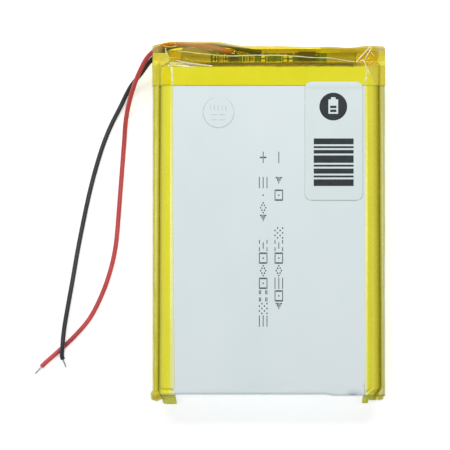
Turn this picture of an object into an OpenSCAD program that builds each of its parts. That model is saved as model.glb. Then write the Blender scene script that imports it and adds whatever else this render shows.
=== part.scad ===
// Lithium pouch cell with a protection board and two wire leads.
// The cell lies on its back: X is its width, +Y points to the head with the board, Z is its thickness.
// The origin is the centre of the flat back face.

/* [Cell] */
// Width of the cell over its folded side seals and tapes
cell_w = 60; // [58:0.5:62]
// Length of the cell from the foot to the head tape
cell_l = 89.8; // [88:0.2:92]
// Thickness of the pouch without tapes or label
pouch_t = 11.8; // [11.4:0.1:12.4]
// Thickness of the pouch laminate
laminate_t = 0.2; // [0.15:0.05:0.25]
// Radius of the long shoulders of the pouch
shoulder_r = 4.5; // [4:0.1:4.8]
// Radius of the pouch edge at the foot
foot_r = 2; // [1.5:0.1:2.5]
// Radius of the pouch edge at the head
head_r = 1.5; // [1:0.1:2]

/* [Wound roll] */
// Turns drawn in the flat roll
roll_turns = 6; // [4:1:6]
// Thickness of an electrode strip as drawn
strip_t = 0.24; // [0.16:0.02:0.24]
// Thickness of a separator as drawn
separator_t = 0.08; // [0.04:0.02:0.08]

/* [Protection board] */
// Length of the protection board
board_l = 32; // [30:0.5:33]
// Width of the protection board
board_w = 3.3; // [3:0.1:3.3]
// Thickness of the protection board
board_t = 0.8; // [0.6:0.1:1]
// Width of a cell tab
tab_w = 6; // [4:0.5:6.5]

/* [Tapes and label] */
// Thickness of the tapes
tape_t = 0.08; // [0.06:0.01:0.1]
// Overlap of the head tape on the two flat faces
head_lap = 5; // [4:0.5:6]
// Width of the label
label_w = 15; // [12:0.5:15]
// Length of the label
label_l = 30.4; // [26:0.2:30.4]
// Corner radius of the label
label_r = 1.8; // [1:0.1:3]

/* [Leads] */
// Outside diameter of a lead
lead_d = 1.2; // [1:0.1:1.2]
// Diameter of the tinned strands at a lead's end
strand_d = 0.5; // [0.4:0.05:0.6]
// Length of the bare tinned end of a lead
strip_l = 2.4; // [2:0.1:3]

/* [Hidden] */
$fn = 48;

// Pouch
head_space = 4.9;                      // length that the head terrace and its board take up
foot_y = -cell_l / 2;
head_y = cell_l / 2;
cup_y = head_y - head_space;           // head wall of the two cups
mid_z = pouch_t / 2;                   // plane of the seal
side_x = cell_w / 2 - 1.1;             // side wall of the cups
flat_x = side_x - shoulder_r;          // half the width of the flat faces
terrace_x = side_x - 0.8;
terrace_y = head_y - 1;                // outer edge of the head seal
seam_y = [foot_y + 0.2, cup_y];        // ends of the folded side seals
seam_gap = 0.05;                       // from a cup's wall to the seal folded against it
seam_x = side_x + seam_gap;
seam_top = mid_z + 4.4;
seam_turn = mid_z + 1.1;               // lower edge of the seal's outer leg
wrap_x = cell_w / 2;

// Wound roll
roll_core_r = 0.35;
layer_gap = 0.015;
roll_pitch = 2 * (strip_t + separator_t) + 4 * layer_gap;
roll_step = 30;                        // degrees between two corners of a turn
roll_end = roll_turns * 360 + 90;
roll_x = flat_x - 1.9;                 // centres of the round sides of the roll
roll_top_r = roll_core_r + roll_pitch * (roll_turns + 1.25);
roll_foot = foot_y + 1.5;
roll_head = cup_y - 1.6;

// Tabs and protection board
tab_t = 0.1;
tab_x = 19.2;
film_w = tab_w + 3;
film_t = 0.3;
film_y = [cup_y - 0.5, terrace_y + 0.2];
board_z = mid_z + 2.8;                 // top face of the protection board
board_y = cup_y + 0.45;
plate_x = [board_l / 2 - 1.1, tab_x + 3.1];
plate_t = 0.15;
plate_w = board_w - 0.7;
pad_t = 0.04;
pad_l = 0.9;
pad_w = 0.6;
pad_x = [-14.2, -12.7, -11.5, -6.1, -4.6, -1.9, 3.8, 5.2];
pad_y = [0.35, 1.35];                  // rows of small pads, from the edge of the board
chip_z = board_z + pad_t;
chip_w = 0.5;                          // a chip part stands across a pair of pads
resistor_x = [-14, -11.3];
capacitor_x = [-12.5, -5.9, -4.4];
solder_y = [board_y + 2.4, board_y + board_w - 0.05];
bend_y = head_y - 0.65;                // where the tabs turn up past the head seal

// Tapes and label
tape_top = pouch_t + 2 * tape_t;       // outside of the head tape on the front face
band_y = cup_y - head_lap - 0.5;       // lower edge of the head tape
seal_out = seam_x + 4 * laminate_t;     // outer face of the folded side seals
front_edge_x = flat_x + 0.3;           // edge of the side tapes on the front
back_edge_x = flat_x + 2.1;            // edge of the side tapes on the back
label_x = 9.1;
label_y = band_y + 1 - label_l;
label_t = 0.1;

// Leads: each route starts at its solder joint, passes behind the board to the left corner,
// drops to the surface that the cell lies on, and crosses the other lead twice
lead_r = lead_d / 2;
lead_sides = 8;
red_route = [
    [-9.5, 43.4, 9.4], [-14, 44.3, 9.6], [-19, 45.1, 9.5], [-24, 45.3, 9.2], [-28, 44.5, 8.7],
    [-31, 42.3, 7.6], [-33, 39, 6.3], [-34.6, 35.3, 4.8], [-36, 31, 3], [-37, 26, 1.4],
    [-37.5, 20, 0.6], [-38, 13.5, 0.6], [-38.5, 7, 0.6], [-39, 0.5, 0.6], [-39.6, -6, 0.6],
    [-40.8, -12, 0.6], [-43, -18.6, 0.6], [-46.3, -25.2, 0.6], [-50.5, -30.2, 0.6],
    [-54.8, -34.2, 0.6], [-59, -38, 0.6]
];
black_route = [
    [-2, 43.2, 9.4], [-6, 43.8, 9.4], [-10.5, 44.9, 8.8], [-15.5, 45.2, 7.8], [-20.5, 45.2, 7.6],
    [-25, 44.7, 7.4], [-28.5, 43, 7.1], [-30.8, 40.8, 6], [-33, 38, 4], [-35.8, 34.6, 2.3],
    [-38.4, 29.6, 1.1], [-41, 24.5, 0.6], [-43.1, 19.2, 0.6], [-45, 13, 0.6], [-46.7, 6.3, 0.6],
    [-48.2, -0.8, 0.6], [-49.6, -8, 0.6], [-50.8, -15, 0.6], [-52, -21.8, 1], [-53, -28, 1.7],
    [-53.4, -32.4, 2], [-53.4, -36, 1.4]
];
red_end = [-0.67, -0.74, 0];
black_end = [0.35, -0.9, -0.25];
start_way = [-1, 0, 0];                // both leads leave their solder joints to the left
solder_x = [red_route[0].x, black_route[0].x];
exit_y = [40.3, 44.6];                 // opening of the head tape where the leads come out
exit_z = [5.4, 9.5];

function unit(v) = v / norm(v);
function between(p, i) = let(
    a = p[max(i - 1, 0)],
    b = p[min(i + 2, len(p) - 1)],
    m = (9 * (p[i] + p[i + 1]) - a - b) / 16
) [m.x, m.y, max(m.z, lead_r)];
function refined(p) = [for (i = [0 : len(p) - 2]) each [p[i], between(p, i)], p[len(p) - 1]];
function tangent(p, i, first, last) =
    i == 0 ? unit(first) : i == len(p) - 1 ? unit(last) : unit(p[i + 1] - p[i - 1]);
function ring(centre, way, r, sides) = let(
    across = unit(cross(way, [0, 0, 1])),
    over = cross(across, way)
) [for (k = [0 : sides - 1]) let(a = 360 * k / sides) centre + r * (cos(a) * across + sin(a) * over)];

// Corners of one edge of a wound strip whose inner face starts at radius r
function wound(r) = [
    for (a = [0 : roll_step : roll_end])
        let(
            now = r + roll_pitch * a / 360,
            ends = a % 360 == 90 ? [1, -1] : a % 360 == 270 ? [-1, 1] : [cos(a) > 0 ? 1 : -1]
        )
        each [for (e = ends) [e * roll_x + now * cos(a), now * sin(a)]]
];
function reversed(list) = [for (i = [len(list) - 1 : -1 : 0]) list[i]];

// Extrudes an X-Z outline along Y
module along_y(y) {
    translate([0, y[1], 0]) rotate([90, 0, 0]) linear_extrude(y[1] - y[0]) children();
}

// Extrudes a Y-Z outline along X
module along_x(x) {
    translate([x[0], 0, 0]) rotate([90, 0, 90]) linear_extrude(x[1] - x[0]) children();
}

module block(x, y, z) {
    translate([x[0], y[0], z[0]]) cube([x[1] - x[0], y[1] - y[0], z[1] - z[0]]);
}

// Rectangle with two radii: low for its lower corners and high for its upper ones
module rounded(x, y, low, high) {
    difference() {
        translate([x[0], y[0]]) square([x[1] - x[0], y[1] - y[0]]);
        corner_cut([x[0], y[0]], low, [1, 1]);
        corner_cut([x[1], y[0]], low, [-1, 1]);
        corner_cut([x[0], y[1]], high, [1, -1]);
        corner_cut([x[1], y[1]], high, [-1, -1]);
    }
}

module corner_cut(at, r, into) {
    over = 0.5;
    translate(at) mirror([into.x < 0 ? 1 : 0, 0]) mirror([0, into.y < 0 ? 1 : 0]) difference() {
        translate([-over, -over]) square(r + over);
        translate([r, r]) circle(r);
    }
}

// Outside of the closed pouch, grown by g
module pouch_form(g) {
    intersection() {
        along_y([foot_y - 1, cup_y + 1])
            rounded([-side_x - g, side_x + g], [-g, pouch_t + g], shoulder_r + g, shoulder_r + g);
        along_x([-side_x - 1, side_x + 1]) {
            middle = (foot_y + cup_y) / 2;
            intersection() {
                rounded([foot_y - g, cup_y + 9], [-g, pouch_t + g], foot_r + g, foot_r + g);
                rounded([middle - 60, cup_y + g], [-g, pouch_t + g], head_r + g, head_r + g);
            }
        }
    }
}

// Runs its child for the right side and, mirrored, for the left side
module both_sides() {
    children();
    mirror([1, 0, 0]) children();
}

module tab_pockets() {
    both_sides() tab_film_block(0);
}

// Block of one tab's sealing film, on the right side, grown by g in width and thickness
module tab_film_block(g) {
    block([tab_x - film_w / 2 - g, tab_x + film_w / 2 + g], [film_y[0], film_y[1] + 1],
        [mid_z - film_t / 2 - g, mid_z + film_t / 2 + g]);
}

// Half of the pouch on one side of the seal: way is 1 for the front and -1 for the back
module pouch_half(way) {
    z = way > 0 ? [mid_z, pouch_t + 1] : [-1, mid_z];
    seal_z = way > 0 ? [mid_z, mid_z + laminate_t] : [mid_z - laminate_t, mid_z];
    difference() {
        union() {
            intersection() {
                pouch_form(0);
                block([-side_x - 1, side_x + 1], [foot_y - 1, cup_y + 1], z);
            }
            block([-terrace_x, terrace_x], [cup_y - laminate_t, terrace_y], seal_z);
            intersection() {
                both_sides() tab_film_block(laminate_t);
                block([-terrace_x, terrace_x], [cup_y - laminate_t, terrace_y], z);
            }
        }
        pouch_form(-laminate_t);
        tab_pockets();
    }
}

module pouch_front_shell() color("silver") {
    t = laminate_t;
    pouch_half(1);
    both_sides() along_y(seam_y) polygon([
        [side_x - t / 2, mid_z], [seam_x + t, mid_z], [seam_x + t, seam_top - t],
        [seam_x + 3 * t, seam_top - t], [seam_x + 3 * t, seam_turn], [seam_x + 4 * t, seam_turn],
        [seam_x + 4 * t, seam_top], [seam_x, seam_top], [seam_x, mid_z + t],
        [side_x - t / 2, mid_z + t]
    ]);
}

module pouch_back_shell() color("silver") {
    t = laminate_t;
    difference() {
        pouch_half(-1);
        // the laminate is pressed in under the head tape, which so lies flush with the back face
        block([-side_x - 1, side_x + 1], [band_y, cup_y + 1], [-1, tape_t]);
    }
    both_sides() along_y(seam_y) polygon([
        [side_x - t / 2, mid_z - t], [seam_x + 2 * t, mid_z - t], [seam_x + 2 * t, seam_turn],
        [seam_x + 3 * t, seam_turn], [seam_x + 3 * t, seam_top - t], [seam_x + t, seam_top - t],
        [seam_x + t, mid_z], [side_x - t / 2, mid_z]
    ]);
}

// One strip wound flat: start is its depth in the stack of four layers
module wound_strip(start, thickness, short) {
    inner = wound(roll_core_r + start);
    outer = wound(roll_core_r + start + thickness);
    translate([0, 0, mid_z]) along_y([roll_foot + short, roll_head - short])
        polygon(concat(inner, reversed(outer)));
}

module cathode_strip() color("dimgray") wound_strip(0, strip_t, 0.8);

module separator_inner() color("white")
    wound_strip(strip_t + layer_gap, separator_t, 0);

module anode_strip() color("sienna")
    wound_strip(strip_t + separator_t + 2 * layer_gap, strip_t, 0.4);

module separator_outer() color("whitesmoke")
    wound_strip(2 * strip_t + separator_t + 3 * layer_gap, separator_t, 0);

// Holds down the outer end of the roll
module roll_end_tape() color("seagreen") {
    z = mid_z + roll_top_r + layer_gap;
    block([-roll_x, -roll_x + 10], [-24, 22], [z, z + tape_t / 2]);
}

// Covers the foot of the roll
module roll_foot_tape() color("seagreen") {
    lap = 7;
    t = tape_t / 2;
    low = mid_z - roll_top_r;
    high = mid_z + roll_top_r + layer_gap;
    along_x([-12, 12]) polygon([
        [roll_foot - layer_gap - t, low - t], [roll_foot + lap, low - t], [roll_foot + lap, low],
        [roll_foot - layer_gap, low], [roll_foot - layer_gap, high], [roll_foot + lap, high],
        [roll_foot + lap, high + t], [roll_foot - layer_gap - t, high + t]
    ]);
}

// Runs from the core of the roll through the head seal, turns up and ends under the nickel plate
module cell_tab() {
    low = mid_z - tab_t / 2;
    along_x([tab_x - tab_w / 2, tab_x + tab_w / 2]) polygon([
        [roll_head - 12, low], [bend_y + tab_t, low], [bend_y + tab_t, board_z],
        [board_y + 0.4, board_z], [board_y + 0.4, board_z - tab_t], [bend_y, board_z - tab_t],
        [bend_y, low + tab_t], [roll_head - 12, low + tab_t]
    ]);
}

module cathode_tab() color("lightgray") mirror([1, 0, 0]) cell_tab();

module anode_tab() color("silver") cell_tab();

module tab_film() {
    difference() {
        block([tab_x - film_w / 2, tab_x + film_w / 2], film_y,
            [mid_z - film_t / 2, mid_z + film_t / 2]);
        block([tab_x - tab_w / 2, tab_x + tab_w / 2], [film_y[0] - 1, film_y[1] + 1],
            [mid_z - tab_t / 2, mid_z + tab_t / 2]);
    }
}

module cathode_tab_film() color("ivory") mirror([1, 0, 0]) tab_film();

module anode_tab_film() color("ivory") tab_film();

module board_foam_strip() color("gainsboro")
    block([-24, 24], [cup_y + 0.3, board_y + board_w - 0.1],
        [mid_z + film_t / 2 + laminate_t + 0.05, board_z - board_t]);

module protection_board() color("darkgreen")
    block([-board_l / 2, board_l / 2], [board_y, board_y + board_w], [board_z - board_t, board_z]);

// Gold-plated pads: two rows of small ones, and a large one under each solder joint
module board_pads() color("gold") {
    for (x = pad_x)
        for (y = pad_y)
            block([x, x + pad_l], [board_y + y, board_y + y + pad_w], [board_z, chip_z]);
    for (x = solder_x)
        block([x - 0.2, x + 2 * pad_l], solder_y, [board_z, chip_z]);
}

module nickel_plate() {
    block(plate_x, [board_y, board_y + plate_w], [board_z, board_z + plate_t]);
}

module nickel_plate_positive() color("silver") mirror([1, 0, 0]) nickel_plate();

module nickel_plate_negative() color("silver") nickel_plate();

// Moulded chip with a row of flat legs that reach out of its two X ends
module chip(x, y, height, legs, reach) {
    leg_w = 0.25;
    leg_t = 0.15;
    pitch = (y[1] - y[0]) / legs;
    block(x, y, [chip_z + 0.1, chip_z + height]);
    for (i = [0 : legs - 1]) {
        leg_y = y[0] + pitch * (i + 0.5);
        block([x[0] - reach, x[1] + reach], [leg_y - leg_w / 2, leg_y + leg_w / 2],
            [chip_z, chip_z + leg_t]);
    }
}

module protection_ic() color("black")
    chip([-9.9, -8.3], [board_y + 0.1, board_y + 2.3], 0.85, 3, 0.55);

module dual_mosfet() color("black")
    chip([7.6, 12], [board_y + 0.1, board_y + 2.9], 0.9, 4, 0.85);

// A row of chip parts, each across its pair of pads
module chip_parts(xs, height) {
    for (x = xs)
        block([x, x + chip_w], [board_y + pad_y[0] + 0.1, board_y + pad_y[1] + pad_w - 0.1],
            [chip_z, chip_z + height]);
}

module chip_resistors() color("dimgray") chip_parts(resistor_x, 0.35);

module chip_capacitors() color("tan") chip_parts(capacitor_x, 0.5);

// Bare strands out of each lead and the dome of solder that holds them
module solder_joints() color("lightgray") {
    for (start = [red_route[0], black_route[0]]) {
        translate(start) rotate([0, 90, 0]) cylinder(h = 1.4, d = strand_d);
        intersection() {
            translate([start.x + 1.2, start.y, chip_z]) sphere(0.65);
            block([start.x, start.x + 3], solder_y, [chip_z, chip_z + 1]);
        }
    }
}

// Thin film over a tab where it turns up past the head seal
module tab_insulation(x) {
    y = bend_y + tab_t + 0.05;
    z = board_z + plate_t + 0.02;
    lap_y = board_y + plate_w;
    along_x(x) polygon([
        [y, mid_z + 0.6], [y + tape_t, mid_z + 0.6], [y + tape_t, z + tape_t],
        [lap_y, z + tape_t], [lap_y, z], [y, z]
    ]);
}

module tab_insulation_positive() color("yellow") tab_insulation([-22.2, -15.4]);

module tab_insulation_negative() color("yellow") tab_insulation([13.4, 18.4]);

// Section of the head tape across the cell, grown by g
module wrap_section(g) {
    rounded([-wrap_x - g, wrap_x + g], [-g, tape_top + g], shoulder_r - 0.1 + g, 2 + g);
}

// Outline of the head tape from the side, grown by g: it dips from the front face to the board
module head_outline(g) {
    polygon([
        [band_y - 5, -g], [head_y - 0.9, -g], [head_y + g, 0.9], [head_y + g, board_z + 0.9],
        [head_y - 0.6 + g, board_z + 1.7 + g], [cup_y + 0.9, board_z + 2.3 + g],
        [cup_y - 0.3, tape_top + g], [band_y - 5, tape_top + g]
    ]);
}

// Bulge of the head tape over the two leads behind the board, grown by g
module lead_bulge(g) {
    translate([0, 0, 6.7 - g]) linear_extrude(3.7 + 2 * g) polygon([
        [-5, 44.9 + g], [-10.5, 45.8 + g], [-15, 46.1 + g], [-26, 46.1 + g],
        [-28.8, 45.4 + g], [-wrap_x - g, 44.2 + g], [-wrap_x - g, 42], [-5, 42]
    ]);
}

module head_tape() color("goldenrod", 0.6) {
    difference() {
        union() {
            intersection() {
                along_y([band_y, head_y + 1]) wrap_section(0);
                along_x([-wrap_x - 1, wrap_x + 1]) head_outline(0);
            }
            lead_bulge(0);
        }
        intersection() {
            along_y([band_y - 1, head_y + 1]) wrap_section(-tape_t);
            along_x([-wrap_x - 1, wrap_x + 1]) head_outline(-tape_t);
        }
        lead_bulge(-tape_t);
        block([-wrap_x - 1, -wrap_x + 1.4], exit_y, exit_z);
    }
}

// The folded seal of the right side as one block, grown by g
module seal_block(g) {
    block([seam_x - g, seal_out + g], [seam_y[0] - g, seam_y[1]],
        [mid_z - laminate_t - g, seam_top + g]);
}

// Pouch side and folded seal together, with the narrow gap between them closed
module wrapped_side() {
    pouch_form(0);
    seal_block(0);
    block([side_x - 0.2, seam_x + 0.1], seam_y, [mid_z - laminate_t, seam_top - 2]);
}

// Right side tape: a skin over shoulder, seal and foot corner, an ear round the end of the seal,
// and a free end pinched flat past the foot
module side_tape(ear_x, ear_r, ear_reach, end_x, end_reach) {
    ear_low = mid_z - 2.4;
    difference() {
        union() {
            pouch_form(tape_t);
            seal_block(tape_t);
            translate([ear_x, foot_y - ear_reach + ear_r, ear_low]) cylinder(h = 6.4, r = ear_r);
            block(end_x, [foot_y - end_reach, foot_y], [mid_z - tape_t, mid_z + tape_t]);
        }
        wrapped_side();
        block([-cell_w, front_edge_x], [foot_y, head_y], [mid_z, pouch_t + 1]);
        block([-cell_w, back_edge_x], [foot_y, head_y], [-1, mid_z]);
        block([-cell_w, end_x[0]], [foot_y - 5, foot_y], [-1, pouch_t + 1]);
        block([-cell_w, cell_w], [cup_y - 0.4, head_y], [-1, pouch_t + 1]);
    }
}

module side_tape_left() color("yellow")
    mirror([1, 0, 0]) side_tape(29, 1.4, 1.7, [23.8, 27.6], 2.5);

module side_tape_right() color("yellow")
    side_tape(28.9, 0.9, 0.9, [23.6, 25.4], 1.9);

// Paper label that laps over the edge of the head tape
module label() color("white") {
    low = pouch_t;
    high = tape_top;
    x = [label_x, label_x + label_w];
    y = [label_y, label_y + label_l];
    intersection() {
        translate([0, 0, low - 1]) linear_extrude(3) rounded(x, y, label_r, label_r);
        along_x([x[0] - 1, x[1] + 1]) polygon([
            [y[0] - 1, low], [band_y - 0.1, low], [band_y - 0.1, high], [y[1] + 1, high],
            [y[1] + 1, high + label_t], [band_y - 0.2, high + label_t],
            [band_y - 0.2, low + label_t], [y[0] - 1, low + label_t]
        ]);
    }
}

// Round wire swept along its route, with its two end faces square to first and last
module swept_lead(route, first, last) {
    line = refined(route);
    n = len(line);
    rings = [for (i = [0 : n - 1]) ring(line[i], tangent(line, i, first, last), lead_r, lead_sides)];
    polyhedron(
        points = [for (r = rings) each r],
        faces = concat(
            [[for (k = [lead_sides - 1 : -1 : 0]) k]],
            [for (i = [0 : n - 2]) for (k = [0 : lead_sides - 1]) let(
                a = i * lead_sides + k,
                b = i * lead_sides + (k + 1) % lead_sides
            ) [a, b, b + lead_sides, a + lead_sides]],
            [[for (k = [0 : lead_sides - 1]) (n - 1) * lead_sides + k]]
        )
    );
}

// Tinned strands that stand out of a lead's free end
module lead_tip(start, way) {
    tilt = acos(unit(way).z);
    turn = atan2(way.y, way.x);
    translate(start) rotate([0, tilt, turn]) cylinder(h = strip_l, d = strand_d);
}

module red_lead() color("firebrick") swept_lead(red_route, start_way, red_end);

module black_lead() color([0.12, 0.13, 0.14]) swept_lead(black_route, start_way, black_end);

module red_lead_tip() color("silver") lead_tip(red_route[len(red_route) - 1], red_end);

module black_lead_tip() color("silver") lead_tip(black_route[len(black_route) - 1], black_end);

pouch_front_shell();
pouch_back_shell();
cathode_strip();
anode_strip();
separator_inner();
separator_outer();
roll_end_tape();
roll_foot_tape();
cathode_tab();
anode_tab();
cathode_tab_film();
anode_tab_film();
board_foam_strip();
protection_board();
board_pads();
nickel_plate_positive();
nickel_plate_negative();
protection_ic();
dual_mosfet();
chip_resistors();
chip_capacitors();
solder_joints();
tab_insulation_positive();
tab_insulation_negative();
head_tape();
side_tape_left();
side_tape_right();
label();
red_lead();
red_lead_tip();
black_lead();
black_lead_tip();
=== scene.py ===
"""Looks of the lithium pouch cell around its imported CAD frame. The script works in millimetres and
turns them into metres where it makes objects."""

import math

import bmesh
import bpy
import numpy as np
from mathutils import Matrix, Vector, noise


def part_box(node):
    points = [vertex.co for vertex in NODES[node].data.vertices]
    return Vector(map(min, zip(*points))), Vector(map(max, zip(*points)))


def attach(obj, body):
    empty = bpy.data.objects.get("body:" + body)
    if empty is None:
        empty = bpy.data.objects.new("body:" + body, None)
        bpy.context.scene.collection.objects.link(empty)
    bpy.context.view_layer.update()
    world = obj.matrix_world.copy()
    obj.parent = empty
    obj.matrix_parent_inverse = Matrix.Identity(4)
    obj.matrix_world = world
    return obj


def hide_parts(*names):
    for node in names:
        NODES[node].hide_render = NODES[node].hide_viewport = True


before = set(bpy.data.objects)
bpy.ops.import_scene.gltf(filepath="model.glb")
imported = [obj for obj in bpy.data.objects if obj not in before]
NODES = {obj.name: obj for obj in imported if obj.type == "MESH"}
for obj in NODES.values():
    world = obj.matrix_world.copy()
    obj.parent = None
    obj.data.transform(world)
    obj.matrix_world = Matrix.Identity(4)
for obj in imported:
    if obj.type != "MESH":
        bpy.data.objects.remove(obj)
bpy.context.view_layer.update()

MM = 0.001


# ---- places, from the frame
def box_of(node):
    """The two corners of a CAD node's box, in millimetres."""
    return [Vector(corner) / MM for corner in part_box(node)]


FRONT_LOW, FRONT_HIGH = box_of("pouch_front_shell")
HEAD_LOW, HEAD_HIGH = box_of("head_tape")
BOARD_LOW, BOARD_HIGH = box_of("protection_board")
LABEL_LOW, LABEL_HIGH = box_of("label")
TOP = FRONT_HIGH.z  # front face of the pouch
MID = FRONT_LOW.z  # plane of the seal
FOOT = FRONT_LOW.y
TERRACE = FRONT_HIGH.y  # outer edge of the head seal
SEAL_OUT = FRONT_HIGH.x  # outside of the folded side seals
SIDE = SEAL_OUT - 0.85  # side wall of the cups
SEAL_IN = SIDE + 0.05
SEAL_TOP = MID + 4.4
SHOULDER = 4.5  # radius of the long shoulders
FLAT = SIDE - SHOULDER
FOOT_R = 0.8
HEAD_R = 1.5
CUP = TERRACE - 3.9  # head wall of the cups
BAND = HEAD_LOW.y  # lower edge of the head tape
WRAP = HEAD_HIGH.x  # outside of the head tape
HEAD_END = TERRACE + 1.0
LEAD_SWELL = 1.12  # how far the leads push the end of the head tape out
FILM = 0.05  # thickness of the tapes as drawn
GROOVE_LEAN = 0.005  # how fast the grooves beside the seals lean in to the head
GROOVE_BEND = 1.0  # how far the right groove bends in at the foot
BEND_LOW, BEND_HIGH = 0.3, 1.9  # where along the foot it bends
GROOVE_NEAR = (26.2, 27.0)  # across these X the tape takes up its groove's lean and bend
DENT_X = 21.6  # middle of the small dent in the foot edge

# ---- leads, as in the frame
LEAD_R = 0.6
TIP_R = 0.25
TIP_L = 2.4
RED_ROUTE = [
    (-9.5, 43.4, 9.4), (-14, 44.3, 9.6), (-19, 45.1, 9.5), (-24, 45.3, 9.2), (-28, 44.5, 8.7),
    (-31, 42.3, 7.6), (-33, 39, 6.3), (-34.6, 35.3, 4.8), (-36, 31, 3), (-37, 26, 1.4),
    (-37.5, 20, 0.6), (-38, 13.5, 0.6), (-38.5, 7, 0.6), (-39, 0.5, 0.6), (-39.6, -6, 0.6),
    (-40.8, -12, 0.6), (-43, -18.6, 0.6), (-46.3, -25.2, 0.6), (-50.5, -30.2, 0.6),
    (-54.8, -34.2, 0.6), (-59, -38, 0.6),
]
BLACK_ROUTE = [
    (-2, 43.2, 9.4), (-6, 43.8, 9.4), (-10.5, 44.9, 8.8), (-15.5, 45.2, 7.8), (-20.5, 45.2, 7.6),
    (-25, 44.7, 7.4), (-28.5, 43, 7.1), (-30.8, 40.8, 6), (-33, 38, 4), (-35.8, 34.6, 2.3),
    (-38.4, 29.6, 1.1), (-41, 24.5, 0.6), (-43.1, 19.2, 0.6), (-45, 13, 0.6), (-46.7, 6.3, 0.6),
    (-48.2, -0.8, 0.6), (-49.6, -8, 0.6), (-50.8, -15, 0.6), (-52, -21.8, 1), (-53, -28, 1.7),
    (-53.4, -32.4, 2), (-53.4, -36, 1.4),
]
RED_END = Vector((-0.67, -0.74, 0)).normalized()
BLACK_END = Vector((0.35, -0.9, -0.25)).normalized()


# ---- small helpers
def clamp01(t):
    return np.clip(t, 0.0, 1.0)


def smooth(low, high, value):
    t = clamp01((value - low) / (high - low))
    return t * t * (3 - 2 * t)


def mix(a, b, t):
    return a + (b - a) * t


def bump_at(away, width):
    """A bell from 1 down to 0 with the distance away."""
    return math.exp(-((away / width) ** 2))


def wobble(x, y, size, seed):
    """Smooth noise from -1 to 1 that repeats about every size."""
    return noise.noise(Vector((x / size, y / size, seed * 7.31)))


def wander(along, lane, size, seed):
    """The same noise along a line. The lane picks one line out of many."""
    return wobble(along, lane / MM, size, seed)


def wobble_grid(x, y, size, seed):
    """The noise at every point of two grids."""
    flat = [wobble(a, b, size, seed) for a, b in zip(np.ravel(x), np.ravel(y))]
    return np.array(flat).reshape(np.shape(x))


def spaced(low, high, step):
    """Even values from low to high, about one step apart."""
    count = max(2, int(round(abs(high - low) / step)) + 1)
    return list(np.linspace(low, high, count))


def in_metres(point):
    """A point or way in the unit of the scene."""
    return [c * MM for c in point]


def linked(name, data, material, smooth_faces=True):
    piece = bpy.data.objects.new(name, data)
    bpy.context.scene.collection.objects.link(piece)
    data.materials.append(material)
    if smooth_faces:
        data.polygons.foreach_set("use_smooth", [True] * len(data.polygons))
    return piece


def mesh_piece(name, points, faces, material, smooth_faces=True, weld=1e-6):
    """A mesh object from points in millimetres and faces, with doubled points welded, up to weld in
    metres, and its normals turned outward."""
    shape = bmesh.new()
    corners = [shape.verts.new(in_metres(p)) for p in points]
    for face in faces:
        shape.faces.new([corners[i] for i in face])
    bmesh.ops.remove_doubles(shape, verts=shape.verts, dist=weld)
    bmesh.ops.dissolve_degenerate(shape, edges=shape.edges, dist=1e-7)
    bmesh.ops.recalc_face_normals(shape, faces=shape.faces)
    mesh = bpy.data.meshes.new(name)
    shape.to_mesh(mesh)
    shape.free()
    return linked(name, mesh, material, smooth_faces)


def grid_faces(rows, columns, start=0, wrap=False):
    """Quads between the points of a grid, whose rows close on themselves where wrap is set."""
    faces = []
    for r in range(rows - 1):
        for c in range(columns if wrap else columns - 1):
            a, b = start + r * columns + c, start + r * columns + (c + 1) % columns
            faces.append((a, b, b + columns, a + columns))
    return faces


def thicken(piece, thickness, offset=-1.0):
    """Gives a sheet its thickness: inward at offset -1, to both sides at 0."""
    solid = piece.modifiers.new("thickness", "SOLIDIFY")
    solid.thickness = thickness * MM
    solid.offset = offset
    solid.use_even_offset = False
    return piece


def place(piece, slot, *replaced):
    """Fixes a piece to the body's root, in place of the CAD nodes it replaces; the slot is not used."""
    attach(piece, "root")
    if replaced:
        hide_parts(*replaced)
    return piece


def film_piece(name, points, rows, columns, material, *replaced, slot="yellow_tape", wrap=False):
    """A sheet of film from a grid of points."""
    piece = mesh_piece(name, points, grid_faces(rows, columns, wrap=wrap), material)
    return place(thicken(piece, FILM, 0.0), slot, *replaced)


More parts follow.
